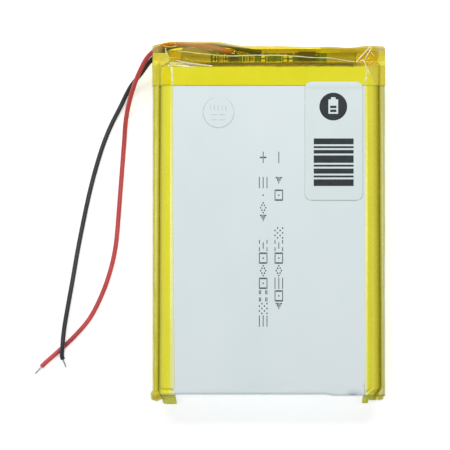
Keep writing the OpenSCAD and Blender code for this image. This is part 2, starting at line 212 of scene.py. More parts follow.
# ---- materials
class Look:
    """A material under construction: its nodes, its Principled shader and object coordinates."""

    def __init__(self, name, colour, roughness, metallic=0.0, coat=0.0, coat_roughness=0.05):
        self.material = bpy.data.materials.new(name)
        self.material.use_nodes = True
        self.tree = self.material.node_tree
        self.shader = self.tree.nodes["Principled BSDF"]
        self.set("Base Color", (*colour, 1))
        self.set("Roughness", roughness)
        self.set("Metallic", metallic)
        self.set("Coat Weight", coat)
        self.set("Coat Roughness", coat_roughness)
        self.place = self.node("ShaderNodeTexCoord", {}).outputs["Object"]

    def node(self, kind, inputs, **settings):
        """A node whose inputs take plain values or the outputs of other nodes."""
        made = self.tree.nodes.new(kind)
        for key, value in settings.items():
            setattr(made, key, value)
        for key, value in inputs.items():
            if isinstance(value, bpy.types.NodeSocket):
                self.tree.links.new(value, made.inputs[key])
            elif isinstance(value, tuple) and len(value) == 3 and made.inputs[key].type == "RGBA":
                made.inputs[key].default_value = (*value, 1)
            else:
                made.inputs[key].default_value = value
        return made

    def set(self, name, value):
        self.shader.inputs[name].default_value = value

    def link(self, source, name):
        self.tree.links.new(source, self.shader.inputs[name])

    def stretched(self, *scale):
        """Object coordinates scaled on each axis, for a noise that runs one way."""
        return self.node("ShaderNodeMapping", {"Vector": self.place, "Scale": scale}).outputs["Vector"]

    def noise(self, scale, detail=3.0, roughness=0.55, vector=None, distortion=0.0):
        return self.node("ShaderNodeTexNoise", {
            "Vector": vector or self.place, "Scale": scale, "Detail": detail,
            "Roughness": roughness, "Distortion": distortion,
        }).outputs["Fac"]

    def ramp(self, source, *stops):
        """Colours along source. Each stop is a position and a colour."""
        made = self.node("ShaderNodeValToRGB", {"Fac": source})
        first, last = made.color_ramp.elements
        first.position, first.color = stops[0][0], (*stops[0][1], 1)
        last.position, last.color = stops[-1][0], (*stops[-1][1], 1)
        for position, colour in stops[1:-1]:
            made.color_ramp.elements.new(position).color = (*colour, 1)
        return made.outputs["Color"]

    def levels(self, source, low, high, out_low, out_high):
        """Maps low..high of source to out_low..out_high and holds it there outside."""
        return self.node("ShaderNodeMapRange", {
            "Value": source, "From Min": low, "From Max": high, "To Min": out_low, "To Max": out_high,
        }).outputs["Result"]

    def span(self, source, low, high, out_low, out_high):
        """The same for a length, whose low and high are in millimetres."""
        return self.levels(source, low * MM, high * MM, out_low, out_high)

    def math(self, operation, a, b=0.0):
        return self.node("ShaderNodeMath", {0: a, 1: b}, operation=operation).outputs["Value"]

    def times(self, a, b):
        return self.math("MULTIPLY", a, b)

    def plus(self, a, b):
        return self.math("ADD", a, b)

    def minus(self, a, b):
        return self.math("SUBTRACT", a, b)

    def size_of(self, a):
        return self.math("ABSOLUTE", a)

    def blended(self, a, b, factor):
        return self.node("ShaderNodeMix", {0: factor, 6: a, 7: b}, data_type="RGBA").outputs[2]

    def axes(self):
        """X, Y and Z of the point on the object, in metres."""
        return self.node("ShaderNodeSeparateXYZ", {"Vector": self.place}).outputs[:3]

    def gloss_factor(self, low):
        """How much of the light a thin film mirrors, from face-on to grazing."""
        facing = self.node("ShaderNodeLayerWeight", {"Blend": 0.5}).outputs["Facing"]
        return self.levels(self.math("POWER", facing, 5.0), 0.0, 1.0, low, 0.9)

    def colour(self, source):
        self.link(source, "Base Color")

    def roughness(self, source, low, high):
        """Roughness from low to high, along a noise."""
        self.link(self.levels(source, 0.3, 0.7, low, high), "Roughness")

    def bump(self, source, distance, strength):
        """Small relief in the surface, whose distance is in metres."""
        made = self.node("ShaderNodeBump", {"Height": source, "Distance": distance, "Strength": strength})
        self.link(made.outputs["Normal"], "Normal")


def laminate_look():
    look = Look("pouch laminate", (0.74, 0.80, 0.82), 0.42)
    fine = look.noise(900, 4, 0.65)
    shade = look.ramp(
        look.noise(55, 3, 0.5, look.stretched(1.0, 0.6, 1.0)),
        (0.30, (0.685, 0.770, 0.785)), (0.5, (0.710, 0.790, 0.805)), (0.70, (0.730, 0.805, 0.820)),
    )
  # painted shade: the small dent in the foot edge is darkened where it falls away from the light
    x, y, z = look.axes()
    aside = look.span(look.size_of(look.minus(x, DENT_X * MM)), 0.2, 1.5, 1.0, 0.0)
    low = look.span(y, FOOT + 0.2, FOOT + 0.9, 1.0, 0.0)
    high = look.span(z, TOP - 2.5, TOP - 1.6, 0.0, 0.6)
    look.colour(look.blended(shade, (0.26, 0.31, 0.31), look.times(look.times(aside, low), high)))
    look.roughness(fine, 0.36, 0.50)
    look.set("Specular IOR Level", 0.35)
    look.bump(fine, 0.00002, 0.35)
    return look.material


def yellow_look(name, side, stops):
    """Glossy yellow tape. The stops give its colour across the side in millimetres of X, at mid length:
    they follow the groove, which leans and bends. Painted shade darkens the tape along the foot edge."""
    look = Look(name, (0.74, 0.70, 0.02), 0.2, coat=0.35, coat_roughness=0.14)
    x, y, _ = look.axes()
    shift = look.times(y, side * GROOVE_LEAN)
    if side > 0:
        bend = look.span(y, FOOT + BEND_LOW, FOOT + BEND_HIGH, GROOVE_BEND * MM, 0.0)
        shift = look.plus(shift, look.times(bend, look.span(x, *GROOVE_NEAR, 0.0, 1.0)))
    first, last = stops[0][0], stops[-1][0]
    across = look.span(look.plus(x, shift), first, last, 0.0, 1.0)
    along = look.noise(240, 3, 0.5, look.stretched(1.0, 0.15, 1.0))
    wander = look.levels(along, 0.3, 0.7, -0.012, 0.012)
    placed = [((p - first) / (last - first), colour) for p, colour in stops]
    base = look.ramp(look.plus(across, wander), *placed)
    marks = look.noise(420, 4, 0.6, look.stretched(1.0, 0.3, 1.0))
    base = look.blended(base, (0.52, 0.45, 0.012), look.levels(marks, 0.35, 0.8, 0.0, 0.16))
    # painted shade along the foot edge, where the tape turns down
    painted_foot_shade = look.span(y, FOOT + 0.15, FOOT + 0.5, 0.8, 0.0)
    look.colour(look.blended(base, (0.26, 0.23, 0.006), painted_foot_shade))
    look.roughness(look.noise(1400, 3, 0.6), 0.20, 0.30)
    look.bump(marks, 0.00005, 0.35)
    return look.material


def film_look(name, tint, body, haze, roughness, zones=None, gloss_low=0.035):
    """Transparent coloured film: tinted light comes through, with a haze of its own colour and a
    gloss that grows towards grazing angles. Zones may change haze and colour from place to place."""
    look = Look(name, body, roughness)
    streaks = look.noise(260, 4, 0.6, look.stretched(0.5, 1.0, 1.0), 0.6)
    darker = tuple(0.86 * c for c in body)
    own = look.ramp(streaks, (0.3, darker), (0.65, body))
    cloud = look.levels(streaks, 0.3, 0.75, haze * 1.3, haze * 0.8)
    if zones:
        own, cloud = zones(look, own, cloud)
    look.colour(own)
    look.roughness(look.noise(1500, 2, 0.5), roughness, roughness + 0.06)
    look.bump(streaks, 0.00003, 0.3)
    look.set("Specular IOR Level", 0.0)
    deeper = tuple(c ** 1.15 for c in tint)
    clear = look.node("ShaderNodeBsdfTransparent", {
        "Color": look.ramp(streaks, (0.3, deeper), (0.7, tint)),
    })
    gloss = look.node("ShaderNodeBsdfGlossy", {"Color": (1.0, 1.0, 0.97), "Roughness": roughness})
    hazy = look.node("ShaderNodeMixShader", {
        0: cloud, 1: clear.outputs["BSDF"], 2: look.shader.outputs["BSDF"],
    })
    surface = look.node("ShaderNodeMixShader", {
        0: look.gloss_factor(gloss_low), 1: hazy.outputs["Shader"], 2: gloss.outputs["BSDF"],
    })
    end = look.tree.nodes["Material Output"]
    look.tree.links.new(surface.outputs["Shader"], end.inputs["Surface"])
    return look.material


def head_zones(look, own, cloud):
    """The head tape is dense yellow where it sticks to the pouch, with painted shade over the gap next to
    the board and in the groove beside each seal, clear over the board, and pale where it turns down at the
    end, partly a painted highlight."""
    x, y, z = look.axes()
    aside = look.size_of(x)
    along = look.plus(y, look.levels(look.noise(350, 2), 0.3, 0.7, -0.1 * MM, 0.1 * MM))
    stuck = look.span(along, CUP - 0.76, CUP - 0.34, 1.0, 0.0)
  # painted shade: a thin dark line along the groove between the shoulder and the folded seal, where the
  # tape is stuck; the film over the seal itself is a denser amber
    outer = look.span(aside, 27.6, 28.4, 0.0, 1.0)
    groove_middle = look.span(x, -1, 1, 27.75 * MM, 28.3 * MM)
    edge = look.span(look.size_of(look.minus(aside, groove_middle)), 0.0, 0.22, 1.0, 0.0)
    line = look.times(edge, stuck)
  # shade over the gap between the head wall and the board
    middle = look.span(aside, 21.0, 25.0, 1.0, 0.0)
    past = look.span(along, CUP + 0.1, CUP + 1.0, 1.0, 0.0)
    shade = look.times(look.minus(1.0, stuck), look.times(past, middle))
  # pale rim along the outer edge, where the tape turns down: denser haze with a painted highlight in it,
  # thinner where the red lead shows
    swell = look.span(x, -14.5, -6, LEAD_SWELL * MM, 0.0)
    from_end = look.minus(look.plus(swell, HEAD_END * MM), y)
    bare = look.span(x, -26.0, -20.5, 0.15, 1.0)
    rim = look.span(from_end, 0.45, 0.90, 1.0, 0.0)
    rim = look.times(rim, look.span(z, BOARD_HIGH.z - 0.2, BOARD_HIGH.z + 1.0, 0.0, 1.0))
    rim = look.times(rim, look.span(x, 10, 14, 1.0, 0.3))
    rim = look.times(rim, bare)
    corner = look.times(
        look.span(aside, 27.0, 28.6, 0.0, 1.0), look.span(y, CUP + 1.6, CUP + 2.6, 0.0, 1.0),
    )
    over_leads = look.span(x, -13, -8, 1.0, 0.0)
    veil = look.times(over_leads, look.span(y, CUP + 2.6, CUP + 4.0, 0.0, 1.0))
    veil = look.times(veil, bare)
    slack = look.times(look.span(from_end, 1.3, 2.1, 1.0, 0.0), look.span(x, 13, 17, 0.0, 1.0))
    mottle = look.levels(look.noise(130, 3), 0.3, 0.7, 0.0, 1.0)
    band = look.blended((0.86, 0.805, 0.024), (0.91, 0.855, 0.032), mottle)
    shade_tone = look.blended((0.27, 0.165, 0.002), (0.17, 0.120, 0.002), mottle)
    shade_tone = look.blended(shade_tone, (0.12, 0.065, 0.001), look.span(x, 8, 15, 0.0, 0.8))
    # the brown tone is painted shade over the gap, the dark line tone is painted shade in the groove, and
    # the pale rim tone is partly a painted highlight
    for tone, where in (
        (band, stuck), (shade_tone, shade), ((0.66, 0.58, 0.09), look.times(outer, 0.75)),
        ((0.16, 0.14, 0.015), look.times(line, 0.8)), ((0.86, 0.70, 0.36), veil),
        ((0.68, 0.50, 0.03), slack), ((0.66, 0.58, 0.22), corner), ((0.86, 0.75, 0.42), rim),
    ):
        own = look.blended(own, tone, where)
    haze = look.plus(look.times(stuck, 0.80), cloud)
    faded = look.levels(over_leads, 0.0, 1.0, 0.55, 0.22)
    for where, amount in ((shade, 0.52), (rim, faded), (corner, 0.30), (veil, 0.12), (slack, 0.42)):
        haze = look.plus(haze, look.times(where, amount))
    return own, haze


def grained(look, grain, dark, light, low=0.3, high=0.7):
    """Gives the look a colour that runs from dark to light along the grain."""
    look.colour(look.ramp(grain, (low, dark), (high, light)))


def paper_look():
    look = Look("label paper", (0.78, 0.86, 0.87), 0.45, coat=0.1, coat_roughness=0.3)
    fibres = look.noise(1600, 5, 0.7)
    grained(look, look.noise(120, 3), (0.672, 0.762, 0.758), (0.700, 0.785, 0.780))
    look.roughness(fibres, 0.4, 0.55)
    look.bump(fibres, 0.00001, 0.3)
    return look.material


def insulation_look(name, dark, mid, light):
    look = Look(name, mid, 0.38, coat=0.12, coat_roughness=0.25)
    marks = look.noise(700, 4, 0.6)
    look.colour(look.ramp(look.noise(90, 2), (0.3, dark), (0.5, mid), (0.7, light)))
    look.roughness(marks, 0.3, 0.48)
    look.set("Specular IOR Level", 0.45)
    look.bump(marks, 0.00002, 0.4)
    return look.material


def metal_look(name, dark, light, roughness, scale=900, stretch=(1, 1, 1), metallic=1.0):
    look = Look(name, light, roughness, metallic=metallic)
    marks = look.noise(scale, 4, 0.6, look.stretched(*stretch))
    grained(look, marks, dark, light, high=0.65)
    look.roughness(marks, roughness * 0.75, roughness * 1.25)
    look.bump(marks, 0.00002, 0.5)
    return look.material


def board_look():
    look = Look("green board", (0.03, 0.16, 0.06), 0.32, coat=0.4, coat_roughness=0.15)
    tracks = look.node(
        "ShaderNodeTexVoronoi", {"Scale": 620, "Vector": look.stretched(1.0, 0.45, 1.0)},
        feature="DISTANCE_TO_EDGE",
    ).outputs["Distance"]
    look.colour(look.ramp(
        tracks, (0.03, (0.040, 0.085, 0.022)), (0.09, (0.080, 0.150, 0.050)), (0.5, (0.100, 0.180, 0.060)),
    ))
    look.roughness(look.noise(800), 0.28, 0.4)
    look.bump(tracks, 0.00003, 0.5)
    return look.material


def plain_look(name, dark, light, roughness, scale, bump=0.00002, coat=0.0):
    """A material with one fine grain in its colour, gloss and surface."""
    look = Look(name, light, roughness, coat=coat, coat_roughness=0.2)
    grain = look.noise(scale, 4, 0.6)
    grained(look, grain, dark, light)
    look.roughness(grain, roughness * 0.85, min(1.0, roughness * 1.15))
    look.bump(grain, bump, 0.4)
    return look.material


def ink_look(name, dark, light, low, high):
    """Ink that has taken unevenly: its colour breaks up a little."""
    look = Look(name, dark, 0.6)
    grained(look, look.noise(1100, 4, 0.7), dark, light, low, high)
    look.roughness(look.noise(500), 0.5, 0.7)
    return look.material


LAMINATE = laminate_look()
# the stops paint shade into the groove beside the seal (near -28.0) and make the inner edge paler, partly
# the thin film over the laminate and partly a painted highlight
LEFT_YELLOW = yellow_look("left side tape", -1, [
    (-29.9, (0.46, 0.41, 0.02)), (-29.2, (0.56, 0.51, 0.015)), (-28.7, (0.62, 0.58, 0.030)),
    (-28.25, (0.62, 0.58, 0.03)), (-28.1, (0.30, 0.29, 0.010)), (-27.95, (0.31, 0.30, 0.015)),
    (-27.7, (0.56, 0.52, 0.045)), (-27.2, (0.76, 0.72, 0.055)), (-26.4, (0.80, 0.76, 0.028)),
    (-25.6, (0.82, 0.78, 0.018)), (-24.9, (0.80, 0.79, 0.16)), (-24.2, (0.80, 0.83, 0.50)),
])
# the stops paint shade into the groove beside the seal (near 28.4) and make the inner edge paler, partly
# the thin film over the laminate and partly a painted highlight
RIGHT_YELLOW = yellow_look("right side tape", 1, [
    (24.2, (0.84, 0.87, 0.70)), (24.6, (0.82, 0.83, 0.42)), (25.0, (0.80, 0.77, 0.060)),
    (25.4, (0.77, 0.73, 0.020)), (26.0, (0.74, 0.70, 0.025)), (26.5, (0.76, 0.72, 0.065)),
    (27.3, (0.68, 0.60, 0.012)), (27.75, (0.60, 0.51, 0.004)), (28.1, (0.52, 0.46, 0.02)),
    (28.35, (0.43, 0.42, 0.05)), (28.5, (0.39, 0.40, 0.05)), (28.72, (0.50, 0.47, 0.07)),
    (29.9, (0.56, 0.54, 0.18)),
])
AMBER = film_look("amber head tape", (1.0, 0.972, 0.48), (0.78, 0.60, 0.015), 0.035, 0.10, head_zones)
FOLDED = film_look("folded amber film", (1.0, 0.95, 0.42), (0.93, 0.84, 0.09), 0.50, 0.12)
DEEP = film_look("deep yellow fold", (1.0, 0.93, 0.30), (0.94, 0.80, 0.004), 0.75, 0.12)
END_STRIP = film_look("strip over the head seal", (1.0, 0.94, 0.45), (0.92, 0.66, 0.12), 0.80, 0.14)
ORANGE = film_look("doubled amber film", (1.0, 0.88, 0.30), (0.90, 0.60, 0.02), 0.55, 0.14)
GOLDEN = film_look("golden amber film", (1.0, 0.93, 0.36), (0.90, 0.70, 0.03), 0.58, 0.14)
MUSTARD = film_look("insulating film", (1.0, 0.93, 0.30), (0.44, 0.335, 0.012), 0.75, 0.15)
BRIGHT_FILM = film_look("bright insulating film", (1.0, 0.97, 0.35), (0.90, 0.84, 0.08), 0.80, 0.15)
# the crease film is pale cream with a whiter haze: a painted highlight along each crease, on top of the
# real gloss of its facets
CREASE = film_look(
    "crease of the head tape, painted highlight", (1.0, 0.985, 0.80), (0.98, 0.94, 0.62), 0.55, 0.16, gloss_low=0.14,
)
LEFT_EAR, RIGHT_EAR, FLAP = [
    plain_look(name, dark, light, 0.34, scale, 0.00004, 0.2)
    for name, dark, light, scale in (
        ("gathered tape left", (0.46, 0.37, 0.006), (0.72, 0.60, 0.02), 330),
        ("gathered tape right", (0.56, 0.50, 0.03), (0.74, 0.68, 0.06), 330),
        ("free tape end", (0.70, 0.72, 0.045), (0.82, 0.84, 0.10), 260),
    )
]
PAPER = paper_look()
RED = insulation_look("red insulation", (0.42, 0.038, 0.042), (0.52, 0.052, 0.058), (0.60, 0.068, 0.074))
BLACK = insulation_look(
    "black insulation", (0.012, 0.014, 0.018), (0.022, 0.026, 0.032), (0.036, 0.040, 0.048),
)
STRANDS = metal_look("tinned strands", (0.40, 0.39, 0.38), (0.70, 0.69, 0.68), 0.35)
NICKEL = metal_look("nickel strip", (0.34, 0.28, 0.17), (0.46, 0.39, 0.24), 0.42, 700, (0.25, 1, 1), 0.35)
SOLDER = metal_look("solder", (0.52, 0.52, 0.53), (0.80, 0.80, 0.80), 0.22)
GOLD = metal_look("gold pads", (0.62, 0.42, 0.12), (0.92, 0.70, 0.30), 0.3)
ALUMINIUM = metal_look("aluminium tab", (0.60, 0.61, 0.62), (0.82, 0.83, 0.84), 0.35, 600, (1, 0.2, 1))
BOARD = board_look()
SILK = ink_look("board marks", (0.80, 0.82, 0.74), (0.62, 0.66, 0.56), 0.45, 0.8)
MOULD = plain_look("chip body", (0.012, 0.011, 0.011), (0.030, 0.026, 0.024), 0.5, 2200)
CHIP_DARK = plain_look("chip resistor", (0.015, 0.015, 0.018), (0.05, 0.05, 0.055), 0.3, 1800, coat=0.4)
CHIP_TAN = plain_look("chip capacitor", (0.26, 0.17, 0.09), (0.42, 0.30, 0.18), 0.45, 1800)
FOAM = plain_look("foam tape", (0.55, 0.55, 0.52), (0.76, 0.76, 0.73), 0.85, 2600, 0.00006)
SEAL_FILM = plain_look("seal film", (0.66, 0.62, 0.50), (0.80, 0.77, 0.67), 0.35, 800, coat=0.3)
CATHODE = plain_look("cathode coating", (0.012, 0.012, 0.013), (0.035, 0.035, 0.037), 0.7, 2400)
ANODE = plain_look("anode coating", (0.03, 0.028, 0.027), (0.075, 0.07, 0.068), 0.75, 2400)
SEPARATOR = plain_look("separator", (0.74, 0.76, 0.75), (0.86, 0.87, 0.86), 0.6, 1500)
ROLL_TAPE = plain_look("roll tape", (0.02, 0.20, 0.10), (0.04, 0.30, 0.16), 0.3, 900, coat=0.3)
INK = ink_look("dark ink", (0.030, 0.040, 0.048), (0.16, 0.19, 0.21), 0.55, 0.95)
LABEL_INK = ink_look("label ink", (0.008, 0.016, 0.020), (0.016, 0.028, 0.033), 0.45, 0.9)
STAMP_INK = ink_look("faint ink", (0.46, 0.51, 0.53), (0.66, 0.72, 0.74), 0.40, 0.72)


# ---- camera
def add_camera():
    """Straight above the cell, a little to the side of the leads, as the reference view is."""
    camera = bpy.data.cameras.new("camera")
    camera.sensor_width = 36
    camera.lens = 201.5
    camera.clip_end = 10
    holder = bpy.data.objects.new("camera", camera)
    holder.location = in_metres((-11.24, -1.14, 656))
    bpy.context.scene.collection.objects.link(holder)
    bpy.context.scene.camera = holder


add_camera()


# ---- leads
def spline_points(route, start_way, end_way, between=6):
    """Points on a smooth curve through the route, which leaves along start_way and ends along end_way."""
    p = [Vector(q) for q in route]
    ways = [start_way.normalized() * (p[1] - p[0]).length]
    ways += [(p[i + 1] - p[i - 1]) / 2 for i in range(1, len(p) - 1)]
    ways += [end_way.normalized() * (p[-1] - p[-2]).length]
    line = []
    for i in range(len(p) - 1):
        for k in range(between):
            t = k / between
            a = 2 * t**3 - 3 * t**2 + 1
            b = t**3 - 2 * t**2 + t
            c = -2 * t**3 + 3 * t**2
            d = t**3 - t**2
            at = a * p[i] + b * ways[i] + c * p[i + 1] + d * ways[i + 1]
            at.z = max(at.z, LEAD_R)
            line.append(at)
    return line + [p[-1]]


def add_lead(name, line, material):
    """The round insulation of a lead along its line."""
    curve = bpy.data.curves.new(name, "CURVE")
    curve.dimensions = "3D"
    curve.bevel_depth = LEAD_R * MM
    curve.bevel_resolution = 5
    curve.use_fill_caps = True
    spline = curve.splines.new("POLY")
    spline.points.add(len(line) - 1)
    for point, at in zip(spline.points, line):
        point.co = (*in_metres(at), 1)
    spline.use_smooth = True
    return linked(name, curve, material, smooth_faces=False)


def add_strands(name, start, way, lobes=7, turns=0.9, steps=22):
    """Tinned strands twisted into one end: a lobed section that turns, frays and tapers a little."""
    side = way.cross(Vector((0, 0, 1))).normalized()
    over = side.cross(way)
    around = lobes * 6
    points = []
    for s in range(steps + 1):
        t = s / steps
        size = TIP_R * (0.97 - 0.22 * smooth(0.75, 1.0, t))
        twist = math.tau * turns * t
        for k in range(around):
            a = math.tau * k / around
            r = size * (0.86 + 0.13 * math.cos(lobes * (a - twist)) + 0.01 * math.cos(3 * a + 5 * t))
            points.append(start + way * (TIP_L * t) + (side * math.cos(a) + over * math.sin(a)) * r)
    faces = grid_faces(steps + 1, around, wrap=True)
    faces.append(tuple(range(around)))
    faces.append(tuple(range(steps * around, (steps + 1) * around)))
    return mesh_piece(name, points, faces, STRANDS)


START_WAY = Vector((-1, 0, 0))
RED_LINE = spline_points(RED_ROUTE, START_WAY, RED_END)
BLACK_LINE = spline_points(BLACK_ROUTE, START_WAY, BLACK_END)
red_wire = place(add_lead("red_lead_wire", RED_LINE, RED), "red_insulation", "red_lead")
black_wire = place(add_lead("black_lead_wire", BLACK_LINE, BLACK), "black_insulation", "black_lead")
red_tip = place(add_strands("red_lead_strands", RED_LINE[-1], RED_END), "tinned_strands", "red_lead_tip")
black_tip = place(
    add_strands("black_lead_strands", BLACK_LINE[-1], BLACK_END), "tinned_strands", "black_lead_tip"
)


# ---- pouch
HALF = TOP - MID
DENT = 0.05  # how far the flat faces wave below their plane
WALL = 0.15  # the laminate of the cups
SEAL_LAYER = 0.2  # the laminate in the seals


def half_profile():
    """(x, drop below the face) across one half of the pouch, from its right side to its left."""
    wall = [(SIDE, d) for d in spaced(HALF, SHOULDER, 0.5)[:-1]]
    arc = [
        (FLAT + SHOULDER * math.sin(a), SHOULDER * (1 - math.cos(a)))
        for a in np.linspace(math.pi / 2, 0, 19)
    ]
    right = wall + arc
    flat = [(x, 0.0) for x in spaced(FLAT, -FLAT, 0.8)[1:-1]]
    return right + flat + [(-x, d) for x, d in reversed(right)]


def length_profile():
    """(y, drop below the face) along one half of the pouch, from the foot to the head wall."""
    wall = [(FOOT, d) for d in spaced(HALF, FOOT_R, 0.6)[:-1]]
    foot = [
        (FOOT + FOOT_R * (1 - math.sin(a)), FOOT_R * (1 - math.cos(a)))
        for a in np.linspace(math.pi / 2, 0, 11)
    ]
    head = [
        (CUP - HEAD_R * (1 - math.sin(a)), HEAD_R * (1 - math.cos(a)))
        for a in np.linspace(0, math.pi / 2, 9)
    ]
    head_wall = [(CUP, d) for d in spaced(HEAD_R, HALF, 0.6)[1:]]
    flat = [(y, 0.0) for y in spaced(foot[-1][0], head[0][0], 0.8)[1:-1]]
    return wall + foot + flat + head + head_wall


def face_dip(x, y, seed):
    """How far the laminate waves below its plane at a point: broad waves, faint ribs along the roll,
    and small puckers along the foot."""
    inside = smooth(0, 6, FLAT - abs(x)) * smooth(0, 5, y - FOOT - FOOT_R)
    broad = 0.5 + 0.5 * wobble(x, y, 24, seed)
    ribs = 0.5 + 0.5 * wobble(x, y * 0.12, 2.6, seed + 3)
    dip = DENT * inside * (0.75 * broad + 0.25 * ribs)
    pucker = max(0.0, wobble(x, y, 3.2, seed + 5))
    return dip + 0.16 * bump_at(y - FOOT - 1.2, 1.6) * pucker


def corner_dent(x, y):
    """Small dent in the foot edge near the right corner of the front face."""
    wide = bump_at(x - DENT_X - 0.3, 1.3) * bump_at(y - FOOT - 0.3, 0.6)
    core = bump_at(x - DENT_X, 0.7) * bump_at(y - FOOT - 0.2, 0.28)
    return 0.6 * wide + 0.9 * core


def under_tapes(x, y):
    """How far the front face sinks under the side tapes, so that their creases stay above it."""
    a = abs(x)
    near_foot = 1 - smooth(FOOT + 2, FOOT + 3, y)
    beside_seal = 0.45 * smooth(26.4, 27.6, a)
    at_foot = 1.1 * smooth(24.4, 25.0, a) * near_foot
    at_bend = 1.9 * smooth(*GROOVE_NEAR, x) * near_foot
    return max(beside_seal, at_foot, at_bend)


def foot_step(x, y):
    """The foot edge stands a little further in over most of its width."""
    return 0.32 * smooth(15.8, 15.4, x) * (1 - smooth(FOOT + 1, FOOT + 3, y))


def front_height(x, y):
    """Height of the front face of the pouch over its flat part."""
    return TOP - face_dip(x, y, 1) - corner_dent(x, y)


def pouch_points(way, seed):
    """Grid of points over one cup, whose corners round off where both its profiles fall."""
    points = []
    across, along = half_profile(), length_profile()
    for y, fall in along:
        for x, drop in across:
            both = (drop**4 + fall**4) ** 0.25
            sunk = face_dip(x, y, seed) if both < 0.5 else 0.0
            if way > 0 and fall < HALF * 0.9:
                sunk += corner_dent(x, y) + under_tapes(x, y)
            depth = min(both + sunk, HALF)
            inward = foot_step(x, y) if abs(x) < SIDE - 0.01 and fall < HALF - 0.01 else 0.0
            points.append((x, y + inward, MID + way * (HALF - depth)))
    return points, len(along), len(across)


def seal_section(way):
    """X-Z outline of one laminate layer of the folded right side seal."""
    t = SEAL_LAYER
    low_turn = MID + 1.1
    if way > 0:
        return [
            (SIDE - t / 2, MID), (SEAL_IN + t, MID), (SEAL_IN + t, SEAL_TOP - t),
            (SEAL_IN + 3 * t, SEAL_TOP - t), (SEAL_IN + 3 * t, low_turn), (SEAL_OUT, low_turn),
            (SEAL_OUT, SEAL_TOP), (SEAL_IN, SEAL_TOP), (SEAL_IN, MID + t), (SIDE - t / 2, MID + t),
        ]
    return [
        (SIDE - t / 2, MID - t), (SEAL_IN + 2 * t, MID - t), (SEAL_IN + 2 * t, low_turn),
        (SEAL_IN + 3 * t, low_turn), (SEAL_IN + 3 * t, SEAL_TOP - t), (SEAL_IN + t, SEAL_TOP - t),
        (SEAL_IN + t, MID), (SIDE - t / 2, MID),
    ]


def pouch_half(name, way, seed):
    """One cup of the pouch as a closed shell, with its layer of both side seals and the head seal."""
    points, rows, columns = pouch_points(way, seed)
    faces = grid_faces(rows, columns)
    shell = mesh_piece(name, points, faces, LAMINATE)
  # an open cup has no inside of its own, so its outermost face says whether the normals look out
    outermost = max(shell.data.polygons, key=lambda face: way * face.center.z)
    if way * outermost.normal.z < 0:
        shell.data.flip_normals()
  # give the cup its wall before the seals join it
    thicken(shell, WALL, -1.0)
    bpy.context.view_layer.update()
    solid = bpy.data.meshes.new_from_object(
        shell.evaluated_get(bpy.context.evaluated_depsgraph_get())
    )
    shell.modifiers.clear()
    shell.data = solid
    shape = bmesh.new()
    shape.from_mesh(solid)
    section = seal_section(way)
    for side in (1, -1):
        rings = [
            [shape.verts.new(in_metres((side * x, y, z))) for x, z in section]
            for y in spaced(FOOT + 0.25, CUP - 0.1, 3)
        ]
        for a, b in zip(rings, rings[1:]):
            for k in range(len(section)):
                n = (k + 1) % len(section)
                shape.faces.new((a[k], a[n], b[n], b[k]))
        shape.faces.new(rings[0])
        shape.faces.new(rings[-1])
    low, high = (MID, MID + SEAL_LAYER) if way > 0 else (MID - SEAL_LAYER, MID)
    for v in bmesh.ops.create_cube(shape, size=1.0)["verts"]:
        x, y, z = v.co
        v.co = in_metres((
            2 * x * (SIDE - 0.8), mix(CUP - 0.2, TERRACE, y + 0.5), mix(low, high, z + 0.5),
        ))
    bmesh.ops.recalc_face_normals(shape, faces=shape.faces)
    shape.to_mesh(solid)
    shape.free()
    solid.polygons.foreach_set("use_smooth", [True] * len(solid.polygons))
    solid.set_sharp_from_angle(angle=math.radians(50))
    return shell


place(pouch_half("pouch_front_skin", 1, 1), "laminate", "pouch_front_shell")
place(pouch_half("pouch_back_skin", -1, 2), "laminate", "pouch_back_shell")


# ---- side tapes
GAP = 0.055  # from the laminate to the outside of the tape
TURN_R = 0.35  # radius at which the tapes turn down over the foot
TAPE_TOP = LABEL_HIGH.z - FILM / 2  # the side tapes stay below the top of the frame
EAR_LOW = 3.6  # lower end of the lobes at the foot corners
LEFT_PUFFS = ((26.55, 0.95), (25.45, 1.0))  # small puffs of the left tape: distances from X 0 and the foot


def side_tape_profile(inner):
    """Points across the right side tape from its front edge to its back edge, each with how much it
    belongs to the wrapped seal (0 on the pouch, 1 on the seal). The seal's wrap begins at inner, with
    a narrow groove between it and the shoulder."""
    r = SHOULDER + GAP
    centre = TOP - SHOULDER
    last_angle = math.asin((inner - 0.20 - FLAT) / r)
    over = [
        (FLAT + r * math.sin(a), centre + r * math.cos(a), 0.0)
        for a in np.linspace(math.radians(1.3), last_angle, 28)
    ]
    last_x, last_z, _ = over[-1]
    groove = [
        (last_x + 0.07, last_z - 0.20, 0.2), (last_x + 0.12, last_z - 0.30, 0.4),
        (inner, last_z - 0.22, 0.7),
    ]
    outer = SEAL_OUT + GAP
    crown = []
    for u in np.linspace(0.0, 1.0, 11):
        x = mix(inner + 0.02, outer, u)
        z = SEAL_TOP + 0.12 - 0.32 * abs(2 * u - 1) ** 2.6
        crown.append((x, z, 1.0))
    outside = [(outer, z, 1.0) for z in spaced(SEAL_TOP - 0.55, MID, 0.45)]
    under = [
        (SEAL_OUT - 0.05, MID - 0.42, 0.9), (SIDE + 0.35, MID - 0.62, 0.6),
        (SIDE + GAP, MID - 1.0, 0.3),
    ]
    back = [
        (FLAT + r * math.sin(a), SHOULDER - r * math.cos(a), 0.0)
        for a in np.radians(np.linspace(88, 29, 16))
    ]
    return over + groove + crown + outside + under + back


def groove_shift(side, x, y):
    """How far in towards the middle the tape's groove stands from its place at mid length."""
    near = smooth(*GROOVE_NEAR, x) * (1 - smooth(28.9, 29.6, x))
    bend = 0.0
    if side > 0:
        bend = GROOVE_BEND * clamp01((FOOT + BEND_HIGH - y) / (BEND_HIGH - BEND_LOW))
    return near * (GROOVE_LEAN * y + bend)


